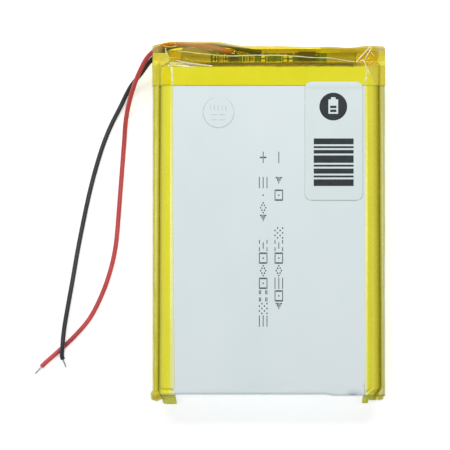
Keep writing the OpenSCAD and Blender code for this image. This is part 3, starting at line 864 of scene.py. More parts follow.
def side_tape(side, inner, widening, foot_folds, seed):
    """Yellow film over one side: it follows shoulder, groove and seal with small creases. At the foot
    it is creased across, where it was folded round the corner, and turned in over the foot wall."""
    profile = side_tape_profile(inner)
    stations = spaced(FOOT, FOOT + 3, 0.15)[:-1] + spaced(FOOT + 3, CUP - 0.45, 0.5)
    rows = []
    for y in stations:
        near_foot = bump_at(y - FOOT, 1.8)
        fall = 0.0
        if y < FOOT + TURN_R:
            fall = TURN_R - math.sqrt(max(0.0, TURN_R**2 - (FOOT + TURN_R - y) ** 2))
        row = []
        for i, (x, z, seal) in enumerate(profile):
            front = z > MID
            edge = 1.0 if i == 0 or i == len(profile) - 1 else 0.0
            x += edge * 0.07 * wander(y, seed, 7, seed)
            x -= widening * max(0.0, 1 - i / 3) * (1 - smooth(FOOT, 0.0, y))
            if front:
                x -= groove_shift(side, x, y)
            groove = bump_at(x - inner + 0.12, 0.2) if front else 0.0
            x += groove * 0.09 * wander(y, 3, 9, seed + 1)
            z += groove * 0.08 * wander(y, 5, 6, seed + 2)
            z += 0.05 * wander(y, 7, 4, seed + 3) * (seal if z > MID + 3.5 else 0)
            depth = (TOP - z) if front else z
            both = (max(depth, 0) ** 4 + fall**4) ** 0.25
            push = (both - depth) * (1 - seal)
            for slope, offset, deep, width, reach in foot_folds:
                along = y - FOOT - offset - slope * (x - FLAT)
                fade = 1 - smooth(reach, reach + 0.9, x)
                push += (1 - seal) * front * fade * deep * bump_at(along, width)
            crumple = near_foot * 0.10 * wobble(x + 3 * y, y - 2 * x + z, 1.1, seed + 4)
            if front and side < 0:
                for at_x, at_y in LEFT_PUFFS:
                    push -= 0.12 * bump_at(x - at_x, 0.50) * bump_at(y - FOOT - at_y, 0.40)
            z += -push - crumple if front else push + crumple
            z = min(z, TAPE_TOP)
            row.append((side * (x + 0.5 * crumple), y, z))
        rows.append(row)
    tucked = []
    for t in (1.0, 0.75, 0.5, 0.25):
        reach = 0.09 + 0.05 * (1 - t)
        tucked.append([(x, y - reach, MID + (z - MID) * t * 0.97) for x, y, z in rows[0]])
    return tucked[::-1] + rows


def add_ear(name, side, centre, radii, high, seed, material):
    """Lobe of gathered film round the foot end of a folded seal, closed at both its ends."""
    around, levels = 48, 19
    points = []
    for k in range(levels):
        t = -1 + 2 * k / (levels - 1)
        z = mix(EAR_LOW, high, (t + 1) / 2)
        swell = max(0.0, 1 - abs(t) ** 3) ** 0.5
        for n in range(around):
            a = math.tau * n / around
            cx, cy = math.cos(a), math.sin(a)
            square = (abs(cx) ** 2.6 + abs(cy) ** 2.6) ** (-1 / 2.6)
            pleat = 1 + 0.03 * math.sin(7 * a + 1.3 * t) + 0.025 * math.sin(11 * a + seed)
            dent = 1 + 0.09 * wobble(3 * cx, 3 * cy + z, 2.2, seed)
            size = swell * pleat * dent * square
            slant = 0.18 * (cx + cy) * radii[0] * (1 if cx > 0 and cy < 0 else 0.3)
            points.append((
                side * (centre[0] + radii[0] * size * cx - abs(slant) * 0.4),
                centre[1] + radii[1] * size * cy,
                z + 0.12 * wobble(a, z, 1.5, seed + 1),
            ))
    return film_piece(name, points, levels, around, material, wrap=True)


def add_foot_flap(name, side, top, bottom, reach, seed):
    """Free end of a side tape past the foot, pinched flat, slanted and a little curled. Top and
    bottom are its two ends in X, and reach is how far it sticks out."""
    columns, depth_steps = 15, 15
    inside = 0.9
    points = []
    for r in range(depth_steps):
        t = r / (depth_steps - 1)
        out = max(0.0, (t * (reach + inside) - inside) / reach)
        for c in range(columns):
            u = c / (columns - 1)
            x = mix(mix(top[0], bottom[0], out), mix(top[1], bottom[1], out), u)
            corner = 0.22 * out**6 * (2 * u - 1) ** 8
            y = FOOT + inside - (reach + inside) * t + corner
            curl = 0.30 * out * out * math.cos(math.pi * (u - 0.3))
            rise = 2.6 * (1 - smooth(0.0, 0.5, t))
            z = MID + 0.3 + rise + curl + 0.10 * wobble(x, y, 1.5, seed)
            points.append((side * x, y, z))
    return film_piece(name, points, depth_steps, columns, FLAP)


def add_side_tape(name, side, material, inner, widening, foot_folds, seed, node):
    rows = side_tape(side, inner, widening, foot_folds, seed)
    points = [point for row in rows for point in row]
    return film_piece(name, points, len(rows), len(rows[0]), material, node)


add_side_tape(
    "side_tape_left_film", -1, LEFT_YELLOW, 28.22, 0.42,
    [(0.04, 1.50, 0.55, 0.24, 27.3), (-0.05, 0.85, -0.14, 0.34, 27),
     (0.0, 0.15, 0.35, 0.20, 27.5)], 11, "side_tape_left",
)
add_side_tape(
    "side_tape_right_film", 1, RIGHT_YELLOW, 28.56, 0.0,
    [(0.80, 0.55, 0.44, 0.17, 25.7), (0.80, -0.05, -0.16, 0.36, 26.2),
     (0.80, -0.78, 0.40, 0.2, 26.4), (-0.25, 1.3, 0.10, 0.3, 27.6)],
    31, "side_tape_right",
)
add_ear("side_tape_left_ear", -1, (28.9, FOOT + 0.0), (1.52, 1.50), 10.9, 31, LEFT_EAR)
add_ear("side_tape_right_ear", 1, (28.55, FOOT - 0.1), (1.14, 1.25), 10.4, 51, RIGHT_EAR)
add_foot_flap("side_tape_left_end", -1, (24.05, 27.8), (23.6, 27.1), 2.42, 19)
add_foot_flap("side_tape_right_end", 1, (24.3, 25.9), (24.05, 25.7), 2.2, 39)
add_foot_flap("side_tape_right_skirt", 1, (25.5, 28.3), (25.8, 28.0), 1.45, 43)


# ---- head tape
# Creases of the head tape: points along each, the slope of its bright facet and its half width in mm.
# The facet falls to the left of the way the crease runs, so that it mirrors one of the long lights.
CREASES = [
    ([(-23.3, 43.5), (-20, 43.1), (-15.1, 42.5), (-9.5, 42.1), (-5, 42.35), (3, 42.4), (7.2, 42.1),
      (11.3, 41.7), (15, 41.8), (18.9, 41.2), (21.5, 40.75), (22.7, 40.85)], 0.27, 0.15),
    ([(-23.4, 43.5), (-20, 43.1), (-16.7, 42.75), (-13, 42.4)], 0.27, 0.20),
    ([(22.5, 40.8), (24.2, 42.6), (26.0, 44.6)], 0.36, 0.22),
    ([(24.3, 40.6), (24.9, 41.9), (26.5, 44.6)], 0.20, 0.13),
    ([(23.4, 40.9), (24.3, 41.3), (24.5, 40.2), (24.9, 39.2), (25.3, 37.9), (24.9, 37.0)], 0.12, 0.17),
    ([(24.95, 37.2), (24.75, 36.2), (24.65, 34.6)], 0.02, 0.24),
    ([(27.4, 34.6), (26.8, 35.8), (25.1, 39.0)], 0.10, 0.09),
    ([(-24.6, 34.6), (-24.7, 36.6), (-24.8, 38.4), (-25.2, 39.2), (-25.8, 39.8)], 0.02, 0.28),
    ([(-25.4, 41.0), (-25.7, 42.0), (-26.6, 43.6), (-26.4, 44.3)], 0.12, 0.18),
    ([(-27.2, 39.7), (-25.5, 41.0)], 0.36, 0.16),
    ([(-24.1, 41.2), (-22.3, 40.6), (-18.2, 39.9), (-14.5, 39.5)], 0.27, 0.27),
    ([(-26.0, 39.9), (-22.8, 39.45), (-18.6, 39.4)], 0.27, 0.15),
    ([(-27.2, 44.9), (-25.2, 44.4), (-23.6, 44.9)], 0.27, 0.12),
    ([(26.1, 43.2), (27.2, 42.0)], 0.27, 0.08),
    ([(25.4, 40.0), (26.7, 40.7)], 0.27, 0.08),
]
CREASE_REACH = 0.8  # how far the film on both sides of a crease is bent


def crease_height(x, y, points, slope, width):
    """Height added by one crease at every x, y: a narrow steep step that fades away on both sides."""
    best = np.full(x.shape, 1e3)
    signed = np.zeros(x.shape)
    for (ax, ay), (bx, by) in zip(points, points[1:]):
        length = math.hypot(bx - ax, by - ay)
        t = clamp01(((x - ax) * (bx - ax) + (y - ay) * (by - ay)) / length**2)
        away = np.hypot(x - (ax + t * (bx - ax)), y - (ay + t * (by - ay)))
        left = ((bx - ax) * (y - ay) - (by - ay) * (x - ax)) / length
        nearer = away < best
        signed = np.where(nearer, np.where(left > 0, away, -away), signed)
        best = np.minimum(best, away)
    ends = np.minimum(
        np.hypot(x - points[0][0], y - points[0][1]),
        np.hypot(x - points[-1][0], y - points[-1][1]),
    )
    w = 2 * width
    step = -min(slope, 0.12) * w * np.tanh(signed / w) * np.exp(-best / CREASE_REACH)
    return step * smooth(0.1, 0.9, ends)


def rounded_line(points, turns=2):
    """The same line with its corners cut away twice."""
    for _ in range(turns):
        cut = [points[0]]
        for (ax, ay), (bx, by) in zip(points, points[1:]):
            cut += [(mix(ax, bx, 0.25), mix(ay, by, 0.25)), (mix(ax, bx, 0.75), mix(ay, by, 0.75))]
        points = cut + [points[-1]]
    return points


def add_crease_ridges():
    """A narrow raised fold of film along every crease, with its steep facet towards the long light."""
    points, faces = [], []
    for n, (line, slope, width) in enumerate(CREASES):
        way = np.array(rounded_line(line))
        lengths = np.concatenate([[0.0], np.cumsum(np.hypot(*np.diff(way, axis=0).T))])
        at = np.array(spaced(0.0, lengths[-1], 0.18))
        x, y = np.interp(at, lengths, way[:, 0]), np.interp(at, lengths, way[:, 1])
        tx, ty = np.gradient(x), np.gradient(y)
        size = np.hypot(tx, ty)
        left_x, left_y = -ty / size, tx / size
        run = at / lengths[-1]
        taper = np.sqrt(np.sin(np.pi * np.clip(run, 0.004, 0.996)))
        lively = np.array([wander(v, n, 2.3, 71) for v in at])
        drift = np.array([wander(v, n, 3.1, 73) for v in at]) * 0.06
        w = width * (0.25 + 0.75 * taper) * (0.85 + 0.35 * lively)
        x, y = x + left_x * drift, y + left_y * drift
        start = len(points)
        section = ((-0.9, 0.0), (-0.3, 1.3), (0.35, 0.65), (1.0, 0.0))
        for k in range(len(at)):
            for across, rise in section:
                px, py = x[k] + left_x[k] * across * w[k], y[k] + left_y[k] * across * w[k]
                base = front_of_head(np.array([px]), np.array([py]))[0]
                points.append((px, py, min(base + 0.035 + slope * rise * w[k], LABEL_HIGH.z - 0.02)))
        faces += grid_faces(len(at), len(section), start)
    piece = mesh_piece("head_tape_crease_ridges", points, faces, CREASE, smooth_faces=False)
    thicken(piece, 0.02, 0.0)
    return place(piece, "amber_tape")


def lead_swell(x):
    """How far the leads push the end of the head tape outward, along its width."""
    return LEAD_SWELL * smooth(-6.0, -14.5, x) * (1 - 0.75 * smooth(-25.4, -29.4, x))


def corner_cut(x):
    """How far the end of the head tape draws back: at its two rounded corners, and a little where
    nothing fills it to the right of the board."""
    radius = 1.1
    over = np.maximum(0.0, np.abs(x) - (WRAP - radius))
    slack = 0.25 * smooth(2, 9, x) * (1 - smooth(22, 25.5, x))
    hollow = 0.25 * np.exp(-(((x - 20.2) / 2.4) ** 2))
    return radius - np.sqrt(np.maximum(0.0, radius**2 - over**2)) + slack + hollow


def band_height(x):
    """Height of the head tape across the cell where it lies on the front face."""
    a = np.abs(x)
    over = clamp01((a - FLAT) / SHOULDER)
    shoulder = (TOP - SHOULDER) + SHOULDER * np.sqrt(np.maximum(0.0, 1 - over**2))
    bridge = SEAL_TOP + 0.14
    groove = 0.75 * np.exp(-(((a - (SIDE - 0.62)) / 0.26) ** 2))
    height = np.maximum(shoulder, bridge) - groove
    edge = smooth(WRAP - 0.6, WRAP, a)
    return height + 0.1 - edge * 0.45


def board_height(x, y):
    """Height of the head tape over the board: nearly level, and lower towards the outer corners."""
    slope = 0.03 * (y - CUP - 1)
    corner = 0.45 * smooth(25, WRAP, np.abs(x)) ** 2
    return BOARD_HIGH.z + 1.62 - slope - corner


def front_of_head(x, y):
    """Height of the front sheet of the head tape, with its creases and small wrinkles."""
    tent = clamp01((-15 - x) / 9) * smooth(-27.5, -25.5, x)
    start = CUP - 0.22 + 0.95 * tent
    span = smooth(start - 0.1, start + 0.95, y)
    leaning = 0.30 * np.maximum(0.0, y - CUP + 0.35) * smooth(0.0, 0.3, tent)
    z = mix(band_height(x) - leaning, board_height(x, y), span)
    folds = sum(crease_height(x, y, *crease) for crease in CREASES)
    lively = smooth(CUP - 0.4, CUP + 1.4, y)
    small = wobble_grid(x, y * 0.8, 2.4, 41) * 0.018
    ripple = wobble_grid(x * 0.3, y, 1.9, 43) * 0.018
    corner = smooth(24.5, 28, np.abs(x)) * wobble_grid(x, y, 1.1, 44) * 0.030
    z = z + folds + lively * (small + ripple + corner)
    z = z + 0.010 * wobble_grid(x, y, 6, 45)
    return np.minimum(z, HEAD_HIGH.z - 0.03)


def head_sheet(front):
    """Rows of points over one half of the head tape: along the face, over the end and down to the
    middle of the end wall. The side columns run down the outside to the middle of the side wall."""
    faces_y = np.array(
        spaced(BAND, CUP - 0.9, 0.4)[:-1] + spaced(CUP - 0.9, HEAD_END - 0.55, 0.11)
    )
    corner_x = spaced(WRAP - 0.25, 22, 0.12)[:-1]
    inner_x = np.array(corner_x + spaced(22, -22, 0.24) + [-v for v in corner_x[::-1]])
    x, y = np.meshgrid(inner_x, faces_y)
    if front:
        z = front_of_head(x, y)
    else:
        a = np.abs(x)
        drop = SHOULDER * (1 - np.sqrt(np.maximum(0.0, 1 - clamp01((a - FLAT) / SHOULDER) ** 2)))
        z = 0.03 + np.minimum(drop, 3.4)
        sag = smooth(CUP - 0.5, CUP + 1.5, y)
        z = z + sag * (0.35 + 0.18 * wobble_grid(x, y, 2.2, 47))
        z = np.maximum(z, 0.03)
    outward = smooth(CUP + 1.0, HEAD_END - 0.8, y)
    y = y + (lead_swell(x) - corner_cut(x)) * outward if front else y - corner_cut(x) * outward
    rows = [list(zip(x[r], y[r], z[r])) for r in range(len(faces_y))]
  # the end: a rounded turn, then down the end wall to its middle
    last = rows[-1]
    turn_steps, wall_steps = 6, 12
    turn_r = 0.5
    lead_low = 6.9
    for k in range(1, turn_steps + wall_steps + 1):
        row = []
        for px, py, pz in last:
            if k <= turn_steps:
                a = math.pi / 2 * k / turn_steps
                y_here = py + turn_r * math.sin(a)
                z = pz + turn_r * (math.cos(a) - 1) * (1 if front else -1)
            else:
                z_turn = pz - turn_r * (1 if front else -1)
                z = mix(z_turn, MID, (k - turn_steps) / wall_steps)
                y_here = py + turn_r
            if front:
                keep = smooth(lead_low - 0.9, lead_low, z)
                flat_y = py + turn_r - lead_swell(px)
                y_here = mix(min(flat_y, y_here), y_here, keep)
            wrinkle = 0.07 * wobble(px, z, 1.8, 51)
            row.append((px, min(y_here, HEAD_HIGH.y - 0.06) - abs(wrinkle), z))
        rows.append(row)
  # the outside walls: columns added at both ends of every row
    side_steps = 10
    walled = []
    for row in rows:
        right, left = row[0], row[-1]
        columns = []
        for side, corner in ((1, right), (-1, left)):
            strip = []
            for k in range(side_steps, 0, -1):
                t = k / side_steps
                z = mix(corner[2], MID, t)
                x_out = WRAP - 0.03 - 0.07 * abs(wobble(corner[1], z, 2.0, 53 + side))
                strip.append((side * mix(abs(corner[0]), x_out, min(1.0, t * 4)), corner[1], z))
            columns.append(strip)
        walled.append(columns[0] + row + columns[1][::-1])
    return walled


def film_patch(name, rows, lift, material):
    """A loose layer of film on the front of the head tape. Rows are (y, from x, to x) in mm."""
    columns = 33
    ys = spaced(rows[0][0], rows[-1][0], 0.25)
    row_y = [row[0] for row in rows]
    low = np.interp(ys, row_y, [row[1] for row in rows])
    high = np.interp(ys, row_y, [row[2] for row in rows])
    u = np.linspace(0, 1, columns)
    x = low[:, None] + (high - low)[:, None] * u[None, :]
    y = np.repeat(np.array(ys)[:, None], columns, axis=1)
    ragged = wobble_grid(x * 0, y, 1.6, len(name)) * 0.12
    x = x + ragged * (1 - np.abs(2 * u[None, :] - 1)) * 0.5
    z = front_of_head(x, y) + lift + 0.02 * wobble_grid(x, y, 1.5, 57)
    z = np.minimum(z, HEAD_HIGH.z - 0.01) if lift > 0 else z
    points = list(zip(x.ravel(), y.ravel(), z.ravel()))
    return film_piece(name, points, len(ys), columns, material, slot="amber_tape")


def add_head_tape():
    """Both halves of the head tape, front and back, in one piece of film."""
    points, faces = [], []
    for front in (True, False):
        rows = head_sheet(front)
        start = len(points)
        points += [p for row in rows for p in row]
        faces += grid_faces(len(rows), len(rows[0]), start)
  # the leads come out through a round mouth in the left end
    mouth_y, mouth_z, mouth_r = 42.5, 7.4, 2.1
    kept = []
    for face in faces:
        cx, cy, cz = (sum(points[i][k] for i in face) / 4 for k in range(3))
        if cx >= -28.9 or math.hypot(cy - mouth_y, cz - mouth_z) >= mouth_r:
            kept.append(face)
    piece = mesh_piece("head_tape_film", points, kept, AMBER, weld=2e-6)
    thicken(piece, FILM, 0.0)
    return place(piece, "amber_tape", "head_tape")


add_head_tape()
add_crease_ridges()
for name, lift, material, rows in (
    ("fold_right", 0.06, FOLDED, [
        (34.6, 27.4, 29.85), (36, 26.7, 29.85), (39, 25.2, 29.8), (39.5, 25.3, 29.8), (40.1, 27.9, 29.8),
        (43.4, 28.3, 29.6),
    ]),
    ("fold_left", 0.06, FOLDED, [
        (34.6, -29.85, -27.75), (39.2, -29.85, -27.7), (39.8, -29.85, -27.0), (41, -29.8, -25.5),
        (42, -29.8, -25.7), (42.95, -29.65, -26.1),
    ]),
    ("pleat_left", -0.35, ORANGE, [(41.5, -25.2, -22.6), (42.2, -25.3, -22.4), (43.2, -25.6, -22.6)]),
    ("pleat_right", -0.35, GOLDEN, [
        (39.7, 24.6, 27.2), (40.5, 22.4, 27.8), (41.5, 22.2, 28.0), (42.6, 22.5, 28.0), (43.5, 23.5, 27.2),
    ]),
    ("pleat_edge", 0.06, DEEP, [(34.7, -27.2, -25.35), (37.0, -27.0, -25.3), (39.3, -26.5, -25.5)]),
    ("inner_strip", -1.47, END_STRIP, [(43.0, -8.0, 14.5), (44.1, -12.0, 20.5)]),
):
    film_patch("head_tape_" + name, rows, lift, material)


# ---- label and prints
def label_surface(x, y):
    """The label lies on the face and steps up over the edge of the head tape."""
    step = smooth(BAND - 1.1, BAND + 0.1, y)
    return mix(LABEL_LOW.z + 0.10, LABEL_HIGH.z - 0.015, step)


def add_label():
    """Rounded sticker, cut from a fine grid, so that it can bend over the tape's edge."""
    radius = 1.8
    ys = spaced(LABEL_LOW.y, LABEL_HIGH.y, 0.3)
    columns = 41
    points = []
    for y in ys:
        inset = 0.0
        for edge in (y - LABEL_LOW.y, LABEL_HIGH.y - y):
            if edge < radius:
                inset = radius - math.sqrt(max(0.0, radius**2 - (radius - edge) ** 2))
        for c in range(columns):
            x = mix(LABEL_LOW.x + inset, LABEL_HIGH.x - inset, c / (columns - 1))
            lift = 0.012 * (0.5 + 0.5 * wobble(x, y, 6, 61))
            points.append((x, y, label_surface(x, y) - lift))
    piece = mesh_piece("label_sticker", points, grid_faces(len(ys), columns), PAPER)
    thicken(piece, 0.08, -1.0)
    return place(piece, "label_paper", "label")


class Print:
    """Flat ink shapes that lie on a surface, gathered into one piece."""

    def __init__(self, height, lift=0.012):
        self.points, self.faces = [], []
        self.height, self.lift = height, lift

    def add(self, outline):
        start = len(self.points)
        self.points += [(x, y, self.height(x, y) + self.lift) for x, y in outline]
        self.faces.append(tuple(range(start, start + len(outline))))

    def quad_strip(self, outer, inner):
        start = len(self.points)
        n = len(outer)
        for x, y in outer + inner:
            self.points.append((x, y, self.height(x, y) + self.lift))
        for k in range(n):
            m = (k + 1) % n
            self.faces.append((start + k, start + m, start + n + m, start + n + k))

    def bar(self, x0, x1, y0, y1):
        """A bar, cut across every 1.5 mm so that it follows the surface."""
        cuts = spaced(y0, y1, 1.5)
        for a, b in zip(cuts, cuts[1:]):
            self.add([(x0, a), (x1, a), (x1, b), (x0, b)])

    def piece(self, name, material, slot):
        made = mesh_piece(name, self.points, self.faces, material, smooth_faces=False, weld=1e-7)
        thicken(made, 0.01, -1.0)
        return place(made, slot)


def circle(cx, cy, radius, steps=64):
    return [
        (cx + radius * math.cos(math.tau * k / steps), cy + radius * math.sin(math.tau * k / steps))
        for k in range(steps)
    ]


def battery_hole(cx, cy, steps):
    """Outline of a plain battery sign round a point: a body and a short terminal at its top."""
    half_width, half_height = 1.25, 1.85
    terminal, stub = 0.60, 0.55
    points = []
    for k in range(steps):
        a = math.tau * k / steps
        c, s = max(abs(math.cos(a)), 1e-6), max(abs(math.sin(a)), 1e-6)
        reach = min(half_width / c, half_height / s)
        if math.sin(a) > 0:
            reach = max(reach, min(terminal / c, (half_height + stub) / s))
        points.append((cx + reach * math.cos(a), cy + reach * math.sin(a)))
    return points


def add_label_print():
    """Generic marks: a dark disc with a plain battery sign cut out of it, and a block of plain bars."""
    ink = Print(label_surface)
    middle_x = (LABEL_LOW.x + LABEL_HIGH.x) / 2 - 0.15
    disc_y = LABEL_HIGH.y - 6.35
    steps = 120
    ink.quad_strip(circle(middle_x, disc_y, 3.55, steps), battery_hole(middle_x, disc_y, steps))
    for k in range(2):
        low = disc_y - 1.40 + k * 1.0
        ink.bar(middle_x - 0.8, middle_x + 0.8, low, low + 0.62)
    widths = [1.5, 0.5, 0.9, 1.9, 0.5, 1.3, 0.5, 1.7]
    gap = 0.48
    y = LABEL_HIGH.y - 14.5
    for width in widths:
        ink.bar(middle_x - 5.0, middle_x + 5.2, y - width, y)
        y -= width + gap
    return ink.piece("label_print", LABEL_INK, "print_ink")


# Dot patterns up to five columns wide and seven rows high: polarity signs and plain ornaments, which
# stand in for the printed characters without spelling anything
PATTERNS = {
    "plus": ["  #  ", "  #  ", "#####", "  #  ", "  #  "],
    "minus": ["#####"],
    "diamond": ["  #  ", " # # ", "#   #", " # # ", "  #  "],
    "hatch": ["# # #", "     ", " # # ", "     ", "# # #", "     ", " # # "],
    "bars": ["#####", "     ", "     ", "#####", "     ", "     ", "#####"],
    "bricks": ["## ##", "     ", "     ", " ### ", "     ", "     ", "## ##"],
    "target": ["#####", "#   #", "#   #", "# # #", "#   #", "#   #", "#####"],
    "wedge": ["#    ", "##   ", "###  ", "##   ", "#    "],
    "blocks": ["## ##", "## ##", "     ", "     ", "     ", "## ##", "## ##"],
    "dot": ["  #  "],
}


def dot_line(ink, x_low, y_start, names, advance):
    """A printed line that runs towards the foot, its upright along +X. Runs of dots print as thin
    lines, and single dots come out heavier."""
    height, width = 1.95, 2.5
    row_step, column_step = height / 6, width / 4
    y = y_start
    for name in names:
        rows = PATTERNS.get(name, [])
        offset = (7 - len(rows)) / 2
        for r, row in enumerate(rows):
            x = x_low + (6 - r - offset) * row_step
            c = 0
            while c < len(row):
                run = c
                while run < len(row) and row[run] == "#":
                    run += 1
                if run == c:
                    c += 1
                    continue
                half_x = 0.15 if run - c == 1 else 0.10
                y_high = y - c * column_step + 0.2
                y_low = y - (run - 1) * column_step - 0.2
                ink.bar(x - half_x, x + half_x, y_low, y_high)
                c = run
        y -= advance


def add_pouch_print():
    """Two lines of ornaments along the cell, where the real one has its code."""
    ink = Print(front_height)
    advance = 3.22
    first = 17.4
    right = ["minus", "", "wedge", "target", "", "", "hatch", "bricks", "target", "diamond", "bars",
             "target", "wedge"]
    left = ["plus", "", "bars", "dot", "diamond", "wedge", "", "bricks", "target", "diamond", "target",
            "blocks", "hatch", "bars"]
    dot_line(ink, 1.55, first, right, advance)
    dot_line(ink, -2.45, first, left, advance)
    return ink.piece("pouch_print", INK, "print_ink")


def add_stamp():
    """A faint round stamp with plain strokes in it; its ring thins out towards one side."""
    ink = Print(front_height)
    cx, cy, radius = -12.9, 27.7, 3.95
    steps = 72
    outer, inner = [], []
    for k in range(steps + 1):
        a = math.radians(105 + 315 * k / steps)
        fade = 0.3 + 0.7 * math.sin(math.pi * k / steps)
        width = 0.13 * fade
        outer.append((cx + (radius + width) * math.cos(a), cy + (radius + width) * math.sin(a)))
        inner.append((cx + (radius - width) * math.cos(a), cy + (radius - width) * math.sin(a)))
    for k in range(steps):
        ink.add([outer[k], outer[k + 1], inner[k + 1], inner[k]])
    stroke = 0.09
    for k in range(5):
        x = cx - 2.1 + k * 1.0
        y = cy + 1.4 - 0.12 * k
        ink.bar(x - stroke, x + stroke, y - 0.65, y + 0.65)
    for x, half in ((cx - 1.1, 0.75), (cx + 1.0, 0.75)):
        for dy in (-0.65, 0.65):
            y = cy - 1.3 + dy
            ink.bar(x - half, x + half, y - stroke, y + stroke)
    return ink.piece("pouch_stamp", STAMP_INK, "print_ink")


add_label()
add_label_print()
add_pouch_print()
add_stamp()


# ---- protection board
def dress(node, material, bevel):
    """Gives a CAD node its material, and a small bevel where its edges show."""
    piece = NODES[node]
    if piece.material_slots:
        for held in piece.material_slots:
            held.material = material
    else:
        piece.data.materials.append(material)
    if bevel:
        rounding = piece.modifiers.new("bevel", "BEVEL")
        rounding.width = bevel * MM
        rounding.segments = 2
        rounding.limit_method = "ANGLE"
    return piece


for node, material, bevel in (
    ("protection_board", BOARD, 0.04), ("board_pads", GOLD, 0),
    ("protection_ic", MOULD, 0.05), ("dual_mosfet", MOULD, 0.06),
    ("chip_resistors", CHIP_DARK, 0.04), ("chip_capacitors", CHIP_TAN, 0.04),
    ("board_foam_strip", FOAM, 0.05), ("cathode_tab", ALUMINIUM, 0), ("anode_tab", NICKEL, 0),
    ("cathode_tab_film", SEAL_FILM, 0), ("anode_tab_film", SEAL_FILM, 0),
    ("tab_insulation_positive", MUSTARD, 0), ("tab_insulation_negative", BRIGHT_FILM, 0),
    ("cathode_strip", CATHODE, 0), ("anode_strip", ANODE, 0),
    ("separator_inner", SEPARATOR, 0), ("separator_outer", SEPARATOR, 0),
    ("roll_end_tape", ROLL_TAPE, 0), ("roll_foot_tape", ROLL_TAPE, 0),
):
    dress(node, material, bevel)


def add_nickel_plate(name, node):
    """A nickel plate with two rows of weld dimples and softened edges."""
    low, high = box_of(node)
    columns, rows = 87, 27
    dimple_depth, dimple_r, rim_drop, rim_wide = 0.07, 0.16, 0.03, 0.1
    points = []
    welds = [
        (mix(low.x, high.x, (k + 1.5) / 10), mix(low.y, high.y, v))
        for k in range(8)
        for v in (0.28, 0.74)
    ]
    for r in range(rows):
        for c in range(columns):
            x = mix(low.x, high.x, c / (columns - 1))
            y = mix(low.y, high.y, r / (rows - 1))
            near = min((x - a) ** 2 + (y - b) ** 2 for a, b in welds)
            dimple = dimple_depth * math.exp(-near / dimple_r**2)
            rim = min(x - low.x, high.x - x, y - low.y, high.y - y)
            soft = rim_drop * math.exp(-rim / rim_wide)
            points.append((x, y, high.z - dimple - soft))
    piece = mesh_piece(name, points, grid_faces(rows, columns), NICKEL)
    thicken(piece, 0.12, -1.0)
    return place(piece, "nickel", node)


def add_solder():
    """Bare strands out of each lead, held by a dome of solder that spreads onto its pad."""
    points, faces = [], []
    for line in (RED_LINE, BLACK_LINE):
        start = line[0]
        around, steps = 24, 9
        base = len(points)
        centre = Vector((start.x + 1.2, start.y - 0.1, BOARD_HIGH.z + 0.04))
        for s in range(steps):
            a = math.pi / 2 * s / (steps - 1)
            spread = 0.62 * (math.cos(a) ** 0.8)
            for k in range(around):
                b = math.tau * k / around
                r = spread * (1 + 0.06 * math.cos(3 * b + s))
                points.append(tuple(centre + Vector((
                    r * math.cos(b), 0.8 * r * math.sin(b), 0.62 * math.sin(a) ** 1.2,
                ))))
        faces += grid_faces(steps, around, base, wrap=True)
        faces.append(tuple(range(base, base + around)))
        base = len(points)
        for s in range(2):
            for k in range(12):
                b = math.tau * k / 12
                points.append((
                    start.x + s * 1.35, start.y + 0.22 * math.cos(b),
                    start.z + 0.22 * math.sin(b) - s * 0.12,
                ))
        faces += grid_faces(2, 12, base, wrap=True)
        faces.append(tuple(range(base, base + 12)))
        faces.append(tuple(range(base + 12, base + 24)))
    piece = mesh_piece("solder_domes", points, faces, SOLDER)
    return place(piece, "solder", "solder_joints")


def add_board_marks():
    """Printed frames on the board, round the places of its parts."""
    ink = Print(lambda x, y: BOARD_HIGH.z, lift=0.015)
    low = BOARD_LOW
    line = 0.07
    for x0, x1 in ((-0.46, 3.37), (-6.75, -5.35), (-5.25, -3.75)):
        y0, y1 = low.y + 0.21, low.y + 2.12
        ink.bar(x0, x1, y0 - line, y0 + line)
        ink.bar(x0, x1, y1 - line, y1 + line)
        ink.bar(x0 - line, x0 + line, y0, y1)
        ink.bar(x1 - line, x1 + line, y0, y1)
    return ink.piece("board_silkscreen", SILK, "green_board")


def add_vias():
    """A staggered row of small gold rings."""
    ring = Print(lambda x, y: BOARD_HIGH.z, lift=0.012)
    for k in range(15):
        x = BOARD_LOW.x + 0.9 + k * 1.95
        y = BOARD_LOW.y + (2.45 if k % 2 else 2.2)
        ring.quad_strip(circle(x, y, 0.17, 16), circle(x, y, 0.08, 16))
    return ring.piece("board_vias", GOLD, "gold_pad")


add_nickel_plate("nickel_plate_left_welded", "nickel_plate_positive")
add_nickel_plate("nickel_plate_right_welded", "nickel_plate_negative")
add_solder()
add_board_marks()
add_vias()


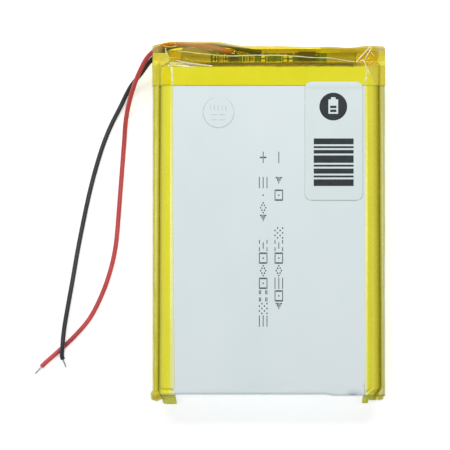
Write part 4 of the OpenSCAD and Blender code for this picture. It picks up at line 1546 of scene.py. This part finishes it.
# ---- floor and light
def add_floor():
    """A pale matt surface that the cell and its leads lie on."""
    look = Look("floor", (0.86, 0.86, 0.86), 0.9)
    look.colour(look.ramp(look.noise(6), (0.3, (0.90, 0.90, 0.90)), (0.7, (0.93, 0.93, 0.93))))
    look.set("Specular IOR Level", 0.0)
    look.set("Emission Color", (1, 1, 1, 1))
    look.set("Emission Strength", 0.42)
    half = 3000
    points = [(-half, -half, 0), (half, -half, 0), (half, half, 0), (-half, half, 0)]
    floor = mesh_piece("floor", points, [(0, 1, 2, 3)], look.material, smooth_faces=False)
    floor.location.z = -0.05 * MM


def add_area(name, at, aim, size, radiance, colour=(1, 1, 1)):
    """A soft rectangle of light, in metres. Its power follows from its size and how bright it looks."""
    lamp = bpy.data.lights.new(name, "AREA")
    lamp.shape = "RECTANGLE"
    lamp.size, lamp.size_y = size
    lamp.energy = radiance * math.pi * size[0] * size[1]
    lamp.color = colour
    holder = bpy.data.objects.new(name, lamp)
    holder.location = at
    holder.rotation_euler = (Vector(aim) - Vector(at)).to_track_quat("-Z", "Y").to_euler()
    bpy.context.scene.collection.objects.link(holder)


def add_world():
    """Even white surroundings, darker straight above, where the camera stands."""
    world = bpy.data.worlds.new("studio")
    bpy.context.scene.world = world
    world.use_nodes = True
    nodes, links = world.node_tree.nodes, world.node_tree.links
    back = nodes["Background"]
    back.inputs["Color"].default_value = (0.97, 0.99, 1.0, 1)
    way = nodes.new("ShaderNodeTexCoord")
    parts = nodes.new("ShaderNodeSeparateXYZ")
    fall = nodes.new("ShaderNodeMapRange")
    fall.inputs["From Min"].default_value = math.cos(math.radians(38))
    fall.inputs["From Max"].default_value = math.cos(math.radians(16))
    fall.inputs["To Min"].default_value = 0.43
    fall.inputs["To Max"].default_value = 0.06
    links.new(way.outputs["Generated"], parts.inputs["Vector"])
    links.new(parts.outputs["Z"], fall.inputs["Value"])
    links.new(fall.outputs["Result"], back.inputs["Strength"])


add_floor()
add_world()
add_area("head_strip", (-0.04, 0.28, 0.375), (0, 0.0, 0), (0.72, 0.11), 6.0)
add_area("left_strip", (-0.165, 0.0, 0.70), (0, 0, 0), (0.10, 0.25), 7.6)
add_area("right_strip", (0.155, 0.0, 0.70), (0, 0, 0), (0.10, 0.25), 6.1)
bpy.context.scene.view_settings.view_transform = "Standard"
